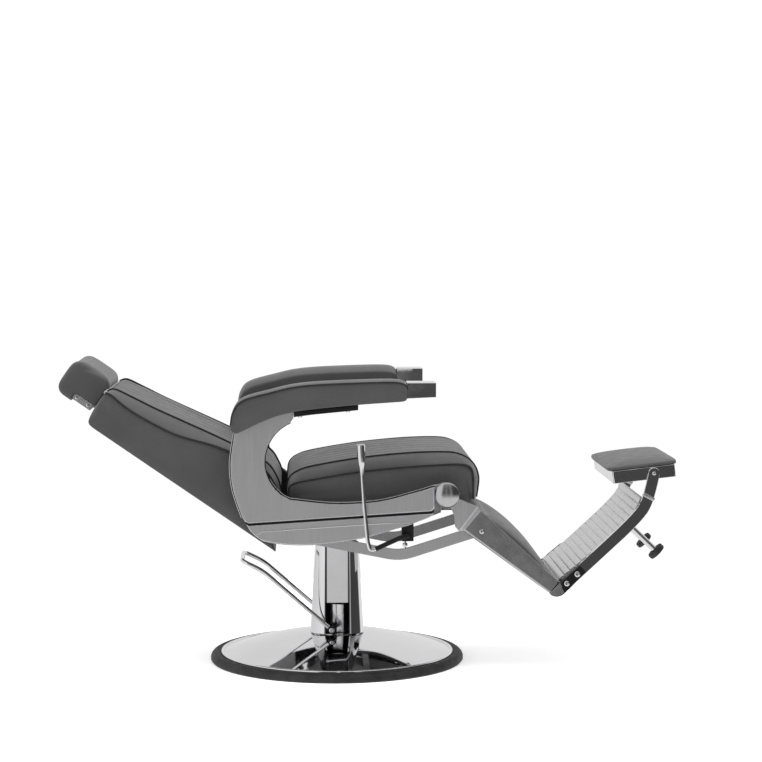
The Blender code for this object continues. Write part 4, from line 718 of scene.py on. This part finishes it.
BOLTS = {"seat": [], "legrest": [], "post": [], "pedal": []}
for side, sign in SIDES:
    out = (0, sign, 0)
    BOLTS["seat"] += [((-0.094, sign * 0.290, 0.6550), (0, 0, -1), 0.0060, 0.0065),
                      ((0.022, sign * 0.290, 0.6674), (0, 0, -1), 0.0060, 0.0065)]
    BOLTS["legrest"] += [((0.3567, sign * 0.205, 0.3555), out, 0.0064, 0.0038),
                         ((0.5955, sign * 0.205, 0.2471), out, 0.0076, 0.0042),
                         ((0.5696, sign * 0.205, 0.2238), out, 0.0072, 0.0042),
                         ((0.790, sign * 0.184, 0.4966), out, 0.0048, 0.0034)]
    BOLTS["post"] += [(HEAD_AT + BACK_UP * up + Vector((0, sign * 0.127, 0)), out, 0.0040, 0.0024)
                      for up in (-0.002, -0.036)]
    BOLTS["pedal"] += [((PEDAL.x, sign * 0.0873, PEDAL.z), out, 0.0072, 0.0034)]
for body, spots in BOLTS.items():
    dress(f"{body}_bolts", joined([bolt(*spot) for spot in spots]), CHROME, body, crease=40)
SCREW = ((0.0032, 0), (0.0032, 0.005), (0.0058, 0.006), (0.0062, 0.008), (0.0062, 0.012), (0.0056, 0.014),
         (0.0034, 0.015), (0.0034, 0.020), (0.0018, 0.0215), (0, 0.0215))
SCREW_AT = (0.162, -0.283, 0.3442)
dress("lever_block_screw", turned(SCREW, SCREW_AT, (0, 0, -1)), CHROME, "seat", crease=40)

CLIP_MIDDLE, CLIP_ALONG = Vector((0.7770, 0, 0.4373)), Vector((0.4735, 0, 0.8808))
CLIP_ACROSS = Vector((CLIP_ALONG.z, 0, -CLIP_ALONG.x))
CLIP_HALF, CLIP_EDGE = Vector((0.0158, 0.0058, 0.0046)), 0.0012
clip_turn = Matrix((CLIP_ACROSS, Vector((0, 1, 0)), CLIP_ALONG)).transposed().to_4x4()
clips = [placed(block(-CLIP_HALF, CLIP_HALF, CLIP_EDGE), CLIP_MIDDLE + Vector((0, sign * 0.180, 0)), clip_turn)
         for _, sign in SIDES]
dress("foot_bar_clips", joined(clips), RIBBED, "legrest")
ANKLE_END = ((0.5268, 0.1985), (0.5295, 0.1946), (0.5340, 0.1918), (0.5395, 0.1903), (0.5455, 0.1899), (0.5515, 0.1908),
             (0.5575, 0.1930), (0.5630, 0.1965), (0.5652, 0.1992), (0.5525, 0.2255))
EAR_FOLDS = (((0.2962, 0.2622, 0.3646), (0.3412, 0.2622, 0.4236)),
             ((0.3111, 0.2046, 0.3570), (0.3534, 0.2046, 0.4080)))
EAR_FOLD = 0.0012
CALF_FLANGE = ((0.3452, 0.4300), (0.3500, 0.4290), (0.3723, 0.4000), (0.3760, 0.3890), (0.3534, 0.4040),
               (0.3465, 0.4180))
for side, sign in SIDES:
    sheet_metal(f"calf_flange_{side}", CALF_FLANGE, sign * 0.1990, sign * 0.2030, 0.0008, SATIN, "legrest")
    sheet_metal(f"ankle_end_{side}", ANKLE_END, sign * 0.2000, sign * 0.2062, 0.0008, ROLLED, "legrest")
    for label, fold in zip(("outer", "inner"), EAR_FOLDS):
        tube(f"ear_fold_{label}_{side}", [Vector((x, sign * y, z)) for x, y, z in fold], EAR_FOLD, CHROME, "legrest",
             round_steps=2)
# A black tube over the lever's lower arm: painted shade where the arm runs in shadow.
LEVER_SHADE_Y, LEVER_SHADE_SHARE, LEVER_SHADE_ROD = -0.2930, 0.84, 0.0059
lower_arm = upright(LEVER[:1], LEVER_SHADE_Y) + upright(LEVER[:3], LEVER_Y)
lower_arm[3] = lower_arm[2].lerp(lower_arm[3], LEVER_SHADE_SHARE)
tube("recline_lever_painted_shade", eased_route(lower_arm, LEVER_BEND), LEVER_SHADE_ROD, BLACK, "lever")

# %% [markdown]
# The tread is a ribbed sheet: broad ribs with narrow grooves between them follow a smooth line, spaced evenly
# along it, and the outline is given its width. A narrow lip goes on from its foot.

# %% Ribbed tread
TREAD = ((0.5525, 0.2276), (0.6063, 0.2717), (0.6783, 0.3347), (0.7398, 0.3971), (0.7600, 0.4365))
TREAD_HALF, TREAD_THICK, TREAD_RIBS, TREAD_RISE = 0.1757, 0.006, 16, 0.0025
RIB = ((0.0, 0.0), (0.06, 0.45), (0.12, 0.74), (0.22, 0.92), (0.36, 0.99), (0.5, 1.0), (0.64, 0.99), (0.78, 0.92),
       (0.88, 0.74), (0.94, 0.45))


def trail(points, fine=400):
    """Length of a smooth flat curve, and what gives the point and the upward normal so far along it."""
    spots = [spline(points, k / fine) for k in range(fine + 1)]
    marks = [0.0]
    for a, b in zip(spots, spots[1:]):
        marks.append(marks[-1] + (b - a).length)

    def at(distance):
        k = min(max(bisect.bisect_right(marks, distance) - 1, 0), fine - 1)
        run = spots[k + 1] - spots[k]
        return spots[k] + run * (distance - marks[k]) / run.length, Vector((-run.y, run.x)).normalized()
    return marks[-1], at


length, at = trail(TREAD)
sheet = []
for rib in range(TREAD_RIBS):
    for share, high in RIB:
        spot, up = at(length * (rib + share) / TREAD_RIBS)
        sheet.append(tuple(spot + up * TREAD_RISE * high))
sheet.append(tuple(at(length)[0]))
for k in range(TREAD_RIBS, -1, -1):
    spot, up = at(length * k / TREAD_RIBS)
    sheet.append(tuple(spot - up * TREAD_THICK))
dress("tread_plate_ribbed", plate(sheet, -TREAD_HALF, TREAD_HALF), RIBBED, "legrest", ["tread_plate"], crease=45)
LIP_REACH, LIP_DROP, LIP_THICK = 0.0110, 0.0012, 0.0020
spot, up = at(0.0)
run = Vector((up.y, -up.x))
lip = [spot + run * 0.0005, spot - run * LIP_REACH - up * LIP_DROP]
lip += [p - up * LIP_THICK for p in reversed(lip)]
dress("tread_lip", plate([tuple(p) for p in lip], -TREAD_HALF, TREAD_HALF), RIBBED, "legrest")

# %% [markdown]
# ## Upholstery
# A cushion starts as a block whose surface is an even grid, and each grid point is placed by the cushion's
# own outline. The sewn lines and the underside are pinned, and Cloth with a little pressure swells the rest,
# so the stuffing bulges between the seams as it does on the real chair. A cap keeps the swelling within the
# room that the solid has.

# %% Upholstery helpers
def stuffing(steps, place):
    """Grid block with so many steps along, across and up; place gets shares and gives a point."""
    shape = bmesh.new()
    bmesh.ops.create_cube(shape, size=1, matrix=Matrix.Translation((0.5, 0.5, 0.5)))
    for axis, count in enumerate(steps):
        lines = [e for e in shape.edges if abs((e.verts[0].co - e.verts[1].co)[axis]) > 0.5]
        bmesh.ops.subdivide_edges(shape, edges=lines, cuts=count - 1, use_grid_fill=True)
    shares = shape.verts.layers.float_vector.new("share")
    for corner in shape.verts:
        corner[shares] = corner.co
        corner.co = place(*corner.co)
    bmesh.ops.recalc_face_normals(shape, faces=shape.faces)
    return shape


STIFFNESS, SWELL_STEPS = 25.0, 20
FIRM, SOFT = 4.0, 2.5


def swell(piece, held, pressure, cap):
    """Swell a piece with Cloth; held says which shares are sewn down, cap is the most a point moves."""
    mesh = piece.data
    shares = [Vector(d.vector) for d in mesh.attributes["share"].data]
    sewn = piece.vertex_groups.new(name="sewn")
    sewn.add([v.index for v in mesh.vertices if held(*shares[v.index])], 1.0, "REPLACE")
    cloth = piece.modifiers.new("stuffing", "CLOTH")
    rules = cloth.settings
    rules.quality = 4
    rules.mass = 0.25
    rules.tension_stiffness = rules.compression_stiffness = STIFFNESS
    rules.shear_stiffness = STIFFNESS / 2
    rules.bending_stiffness = 0.4
    rules.use_pressure = True
    rules.uniform_pressure_force = pressure
    rules.vertex_group_mass = "sewn"
    rules.effector_weights.gravity = 0
    cloth.collision_settings.use_collision = False
    for step in range(1, SWELL_STEPS + 1):
        bpy.context.scene.frame_set(step)
    swollen = piece.evaluated_get(bpy.context.evaluated_depsgraph_get())
    moves = [d.co - v.co for d, v in zip(swollen.to_mesh().vertices, mesh.vertices)]
    swollen.to_mesh_clear()
    piece.modifiers.remove(cloth)
    piece.vertex_groups.clear()
    for v, move in zip(mesh.vertices, moves):
        if move.length > 1e-9:
            v.co += move.normalized() * cap * math.tanh(move.length / cap)
    bpy.context.scene.frame_set(1)
    print(f"{piece.name}: swelled by up to {max(m.length for m in moves) * 1000:.1f} mm before the cap")


def rounded(piece):
    smooth = piece.modifiers.new("smooth", "SUBSURF")
    smooth.levels = smooth.render_levels = 1
    piece.data.set_sharp_from_angle(angle=math.pi)


def same(a, b):
    return abs(a - b) < 1e-4


def seam(piece, axis, share, lift):
    """The cushion's own points along a sewn line of its top, in order, lifted off the surface."""
    found = []
    for v, d in zip(piece.data.vertices, piece.data.attributes["share"].data):
        if same(d.vector[axis], share) and same(d.vector[2], 1):
            found.append((d.vector[1 - axis], v.co + v.normal * lift))
    return [spot for _, spot in sorted(found, key=lambda item: item[0])]


# %% [markdown]
# Both big cushions have lengthwise channels, and two piped seams on each side: one along the channelled
# panel and one along the edge of the side. The grid has a line on every seam, and its lines crowd near the
# seams, so that the fold there is tight.

# %% Channelled cushions
LANE_STEPS, EDGE_STEPS = 8, 5
CHANNEL_DEPTH = 0.0038
PIPING_RADIUS, PANEL_LIFT, EDGE_LIFT = 0.0023, 0.0012, 0.0008


def hump(share):
    """From 0 up to 1 and back to 0."""
    return math.sin(math.pi * share)


def rows(channels):
    """Steps of the grid across a channelled cushion."""
    return channels * LANE_STEPS + 2 * EDGE_STEPS


def lanes(share, channels, panel):
    """Share of the width (-1 to 1), how deep the channel is there (0 to 1), and how far the edge has rolled."""
    step = share * rows(channels) - EDGE_STEPS
    if step < 0 or step > channels * LANE_STEPS:
        over = (-step if step < 0 else step - channels * LANE_STEPS) / EDGE_STEPS
        across = panel + (1 - panel) * over
        return (-across if step < 0 else across), 1 - over, over ** 1.4
    lane = step / LANE_STEPS
    part = lane - int(lane + 1e-6)
    part = part - 0.10 * math.sin(math.tau * part)
    lane = int(lane + 1e-6) + part
    return panel * (2 * lane / channels - 1), 1 - abs(math.sin(math.pi * lane)), 0.0


def on_seam(across, channels):
    """True on a sewn line of the panel, given the grid's own share."""
    step = round(across * rows(channels)) - EDGE_STEPS
    return 0 <= step <= channels * LANE_STEPS and step % LANE_STEPS == 0


def sewn_down(channels, foot):
    """What holds the underside up to a share of the height, the sewn lines of the panel and both side edges."""
    def held(along, share, high):
        return high < foot or (same(high, 1) and (on_seam(share, channels) or min(share, 1 - share) < 1e-4))
    return held


def piped(piece, channels, body):
    """The piping on both sides, near-black as painted shade in the seams: along the panel and along the side's edge."""
    panel = EDGE_STEPS / rows(channels)
    for name, share, lift in (("panel_near", panel, PANEL_LIFT), ("panel_far", 1 - panel, PANEL_LIFT),
                              ("edge_near", 0.0, EDGE_LIFT), ("edge_far", 1.0, EDGE_LIFT)):
        tube(f"{body}_piping_{name}", seam(piece, 1, share, lift), PIPING_RADIUS, PIPING, body, round_steps=3)


SEAT_TOP = ((-0.127, 0.089), (-0.124, 0.119), (-0.105, 0.139), (-0.060, 0.153), (0.050, 0.172), (0.165, 0.183),
            (0.255, 0.1855), (0.301, 0.1810), (0.3345, 0.1610), (0.3495, 0.124), (0.3435, 0.072))
SEAT_EDGE = ((-0.1218, 0.0755), (-0.1205, 0.1005), (-0.1010, 0.1115), (-0.0570, 0.1195), (0.0455, 0.1361),
             (0.1650, 0.1480), (0.2500, 0.1535), (0.2970, 0.1548), (0.3210, 0.1495), (0.3308, 0.1290), (0.3320, 0.0690))
SEAT_LOW, SEAT_REAR, SEAT_FRONT, SEAT_HALF, BOARD_FRONT = 0.0529, -0.121, 0.337, 0.250, 0.300
SEAT_CHANNELS, PANEL = 7, 0.82
SEAT_NOSE, SEAT_SINK, SEAT_CORNER, SEAT_DRAW, SEAT_TOP_DRAW = 0.012, 0.002, 0.012, 0.010, 0.008


def seat_spot(along, share, high):
    across, dip, roll = lanes(share, SEAT_CHANNELS, PANEL)
    top = spline(SEAT_TOP, along)
    low = Vector((SEAT_REAR + (SEAT_FRONT - SEAT_REAR) * along, SEAT_LOW))
    low.y += SEAT_NOSE * max(0.0, (low.x - BOARD_FRONT) / (SEAT_FRONT - BOARD_FRONT))
    fade = min(1.0, 5 * along, 5 * (1 - along))
    up = (top - low).normalized()
    rim = (top - up * (CHANNEL_DEPTH * fade * dip + SEAT_SINK)).lerp(spline(SEAT_EDGE, along), roll)
    spot = low.lerp(rim, high)
    draw = SEAT_DRAW * hump(high) + SEAT_TOP_DRAW * hump(along) * high
    corner = SEAT_CORNER * across ** 4 * max(0.0, 2 * along - 1) * (1 - high)
    return Vector((spot.x - corner, across * (SEAT_HALF - draw), spot.y + DECK))


seat = dress("seat_cushion_sewn", stuffing((56, rows(SEAT_CHANNELS), 10), seat_spot), VINYL, "seat", ["seat_cushion"])
swell(seat, sewn_down(SEAT_CHANNELS, 0.2), FIRM, 0.0045)
piped(seat, SEAT_CHANNELS, "seat")
rounded(seat)

# %% [markdown]
# The back is drawn in its own directions: up along its rear face and forward, square to it. The vinyl goes
# round the board, so one cushion stands for both. Its rear corners are rounded, and a slot in its top end
# lets the headrest's post through.

# %% Back cushion
BACK_HINGE, HINGE_UP, HINGE_OUT = Vector((-0.185, 0, 0.4646)), 0.1122, 0.1097
BACK_FRONT = ((0.000, 0.130), (0.053, 0.152), (0.153, 0.168), (0.378, 0.1545), (0.582, 0.1375), (0.745, 0.1235),
              (0.877, 0.1145), (0.973, 0.1065), (1.000, 0.090))
BACK_EDGE = ((0.074, 0.118), (0.100, 0.138), (0.149, 0.152), (0.260, 0.1350), (0.360, 0.1025), (0.440, 0.0905),
             (0.505, 0.0875), (0.550, 0.0925), (0.5655, 0.0890))
BACK_CHANNELS, BACK_HALF, BACK_LENGTH, BACK_CORNER = 6, 0.2345, 0.5655, 0.020
FRONT_FOOT, FRONT_RUN = 0.074, 0.4915
BACK_SINK, BACK_DROP, BACK_SAG, BACK_DRAW, REAR_LIP = 0.001, 0.003, 0.0035, 0.006, 0.0016


def on_back(up, forward, across=0.0):
    return BACK_HINGE + BACK_UP * (up - HINGE_UP) + BACK_OUT * (forward - HINGE_OUT) + Vector((0, across, 0))


def back_spot(along, share, high):
    across, dip, roll = lanes(share, BACK_CHANNELS, PANEL)
    front_share, forward = spline(BACK_FRONT, along)
    front_up = FRONT_FOOT + FRONT_RUN * front_share
    rear_up = BACK_LENGTH * along - BACK_DROP * (1 - along)
    sag = BACK_SAG * (2 - along) * (1 - high)
    fade = min(1.0, 6 * along, 0.5 + 4 * (1 - along))
    if abs(across) > PANEL - 1e-4:
        fade *= 0.2
    rim = Vector((front_up, forward - CHANNEL_DEPTH * fade * dip - BACK_SINK)).lerp(spline(BACK_EDGE, along), roll)
    front_up, forward = rim
    lip = REAR_LIP * max(0.0, 1 - high / 0.12) ** 2
    up = rear_up + (front_up - rear_up) * min(1.0, high / 0.6)
    spot = Vector((up, forward * high - sag))
    over = Vector((max(0.0, up - BACK_LENGTH + BACK_CORNER), min(0.0, spot.y - BACK_CORNER)))
    if over.length > BACK_CORNER:
        spot += over.normalized() * BACK_CORNER - over
    draw = BACK_DRAW * (hump(high) + hump(along) * high) + lip
    return on_back(spot.x, spot.y, across * (BACK_HALF - draw))


back = dress("back_cushion_sewn", stuffing((56, rows(BACK_CHANNELS), 12), back_spot), VINYL, "back",
             ["back_cushion", "back_board"])
swell(back, sewn_down(BACK_CHANNELS, 0.16), FIRM, 0.006)
piped(back, BACK_CHANNELS, "back")
TOP_PIPING, TOP_LIFT = 0.0032, 0.0015
tube("back_top_piping", seam(back, 0, 1, TOP_LIFT), TOP_PIPING, PALE_PIPING, "back", round_steps=3)
rounded(back)
BACK_TURN = Matrix((BACK_OUT, Vector((0, 1, 0)), BACK_UP)).transposed().to_4x4()
POST_SLOT = (0.0160, -0.0345, 0.360), (0.0405, 0.0345, 0.600)
cut(back, placed(block(*POST_SLOT), on_back(0, 0), BACK_TURN))

# %% [markdown]
# The headrest is a thick pad with a rounded side outline and tight edges, and a notch at its lower rear that
# takes the yoke. The arm pads have a seam along the edge of their top. The calf pad and the foot pad are
# low crowned pads on their trays.

# %% Headrest pad
HEAD_LENGTH, HEAD_DEPTH, HEAD_HALF, HEAD_CORNER, HEAD_EDGE = 0.1125, 0.0980, 0.135, 0.026, 0.010
HEAD_LOW, HEAD_REAR = -0.0575, -0.01385
HEAD_ROWS, HEAD_EDGE_ROWS = 36, 5


def head_spot(along, share, high):
    row = min(share, 1 - share) * HEAD_ROWS
    if row < HEAD_EDGE_ROWS:
        turn = math.pi / 2 * row / HEAD_EDGE_ROWS
        side, shrink = HEAD_HALF - HEAD_EDGE * (1 - math.cos(turn)), HEAD_EDGE * (1 - math.sin(turn))
    else:
        side, shrink = (HEAD_HALF - HEAD_EDGE) * abs(2 * share - 1) / (1 - 2 * HEAD_EDGE_ROWS / HEAD_ROWS), 0.0
    size = Vector((HEAD_LENGTH - 2 * shrink, HEAD_DEPTH - 2 * shrink))
    corner = HEAD_CORNER - shrink
    flat = Vector((along * size.x, high * size.y))
    inset = Vector((min(max(flat.x, corner), size.x - corner), min(max(flat.y, corner), size.y - corner)))
    over = flat - inset
    spot = (inset + over.normalized() * min(over.length, corner) if over.length else flat) + Vector((shrink, shrink))
    return (HEAD_AT + BACK_UP * (HEAD_LOW + spot.x) + BACK_OUT * (HEAD_REAR + spot.y)
            + Vector((0, math.copysign(side, share - 0.5), 0)))


head = dress("headrest_pad_sewn", stuffing((16, HEAD_ROWS, 16), head_spot), VINYL, "head", ["headrest_pad"])
swell(head, lambda a, c, h: h < 0.2 or a < 0.1, SOFT, 0.0025)
rounded(head)
NOTCH, NOTCH_REACH, NOTCH_HALF = 0.0100, 0.03, 0.2
notch = [(NOTCH * math.cos(math.radians(a)), NOTCH * math.sin(math.radians(a))) for a in range(0, 151, 15)]
notch_rear, notch_foot = HEAD_REAR - NOTCH_REACH, HEAD_LOW - NOTCH_REACH
notch += [(notch_rear, notch[-1][1]), (notch_rear, notch_foot), (NOTCH, notch_foot)]
cut(head, placed(plate(notch, -NOTCH_HALF, NOTCH_HALF), HEAD_AT, BACK_TURN))

# %% Arm pads
ARM_TOP = ((-0.262, 0.267), (-0.256, 0.299), (-0.232, 0.327), (-0.165, 0.346), (-0.110, 0.359), (-0.050, 0.365),
           (0.050, 0.369), (0.130, 0.3705), (0.158, 0.365), (0.165, 0.355))
ARM_BOTTOM = ((-0.2615, 0.249), (-0.250, 0.2395), (-0.225, 0.2495), (-0.165, 0.2767), (-0.110, 0.2915),
              (-0.050, 0.2992), (0.050, 0.3088), (0.130, 0.3143), (0.158, 0.317), (0.165, 0.324))
ARM_MIDDLE, ARM_HALF = 0.290, 0.044
ARM_FALL_OUT, ARM_FALL_IN, ARM_SINK, ARM_PIPING, ARM_LIFT = 0.006, 0.018, 0.0012, 0.0019, 0.0006


def arm_spot(sign):
    def spot(along, share, high):
        across = 2 * share - 1
        top, low = spline(ARM_TOP, along), spline(ARM_BOTTOM, along)
        lean = across * sign
        fall = ARM_FALL_OUT * max(0.0, (lean - 0.55) / 0.45) ** 1.5 + ARM_FALL_IN * max(0.0, -lean - 0.1) ** 2
        fall += ARM_SINK
        point = low.lerp(top - (top - low).normalized() * fall, high)
        half = ARM_HALF * (1 - 0.10 * (1 - high) ** 2 - 0.05 * hump(high))
        return Vector((point.x, sign * ARM_MIDDLE + across * half, point.y + DECK))
    return spot


for side, sign in SIDES:
    arm = dress(f"arm_pad_{side}_sewn", stuffing((56, 14, 10), arm_spot(sign)), VINYL, "seat", [f"arm_pad_{side}"])
    swell(arm, lambda a, c, h: h < 0.2 or (same(h, 1) and (c < 1e-4 or c > 1 - 1e-4)), SOFT, 0.003)
    tube(f"arm_pad_{side}_piping", seam(arm, 1, (1 + sign) / 2, ARM_LIFT), ARM_PIPING, PIPING, "seat", round_steps=3)
    rounded(arm)

# %% Calf pad
CALF_FOOT = Vector((0.267 + 0.0447, 0, 0.4546 - 0.0980))
CALF_RUN = Vector((0.2143, 0, -0.1580)).normalized()
CALF_OUT = Vector((-CALF_RUN.z, 0, CALF_RUN.x))
CALF_START, CALF_LENGTH, CALF_HALF, CALF_THICK = 0.016, 0.236, 0.2005, 0.024
CALF_CROWN, CALF_EDGE = 0.017, 0.006
TRAY_START, TRAY_END, RISE_START, RISE_END = 0.0038, 0.2675, 0.0662, 0.0370


def calf_spot(along, share, high):
    across = 2 * share - 1
    up = CALF_START + CALF_LENGTH * along
    edge = RISE_START + (RISE_END - RISE_START) * (up - TRAY_START) / (TRAY_END - TRAY_START)
    crown = CALF_CROWN * 4 * along ** 0.8 * (1 - along) * (1 - 0.35 * across ** 4)
    roll = CALF_EDGE * max(abs(across), abs(2 * along - 1)) ** 10
    out = edge - CALF_THICK + (CALF_THICK + crown - roll - 0.001) * high
    return CALF_FOOT + CALF_RUN * up + CALF_OUT * out + Vector((0, across * (CALF_HALF - 0.001 * high), 0))


calf = dress("calf_pad_sewn", stuffing((28, 44, 4), calf_spot), VINYL, "legrest", ["calf_pad"])
swell(calf, lambda a, c, h: h < 0.6 or min(a, 1 - a, c, 1 - c) < 1e-4, SOFT, 0.004)
rounded(calf)

# %% Foot pad
FOOT_HINGE = Vector((0.790, 0, 0.4966))
TRAY_TURN = Matrix.Rotation(-math.radians(6.5), 3, "Y")
PAD_MIDDLE, PAD_LENGTH, PAD_HALF, PAD_SEAT = -0.0242, 0.0870, 0.1715, 0.0158
PAD_EDGE, PAD_DOME, PAD_ROLL, PAD_BULGE, PAD_SQUARE = 0.0145, 0.008, 0.005, 0.014, 14


def crowded(share):
    """Share from -1 to 1 whose rows crowd at both ends."""
    lean = 2 * share - 1
    return math.copysign(1 - (1 - abs(lean)) ** 1.7, lean)


def foot_spot(along, share, high):
    x, y = crowded(along), crowded(share)
    rim = max(abs(x), abs(y))
    dome = PAD_DOME * (1 - x * x) * (1 - y * y)
    size = 1 + PAD_BULGE * hump(high)
    if rim:
        size *= rim / (abs(x) ** PAD_SQUARE + abs(y) ** PAD_SQUARE) ** (1 / PAD_SQUARE)
    spot = Vector((PAD_MIDDLE + PAD_LENGTH * x * size, PAD_HALF * y * size,
                   PAD_SEAT + (PAD_EDGE + dome - PAD_ROLL * rim ** PAD_SQUARE) * high))
    return FOOT_HINGE + TRAY_TURN @ spot


pad = dress("foot_pad_sewn", stuffing((24, 44, 6), foot_spot), VINYL, "footrest", ["foot_pad"])
swell(pad, lambda a, c, h: h < 0.4 or min(a, 1 - a, c, 1 - c) < 1e-4, SOFT, 0.003)
rounded(pad)
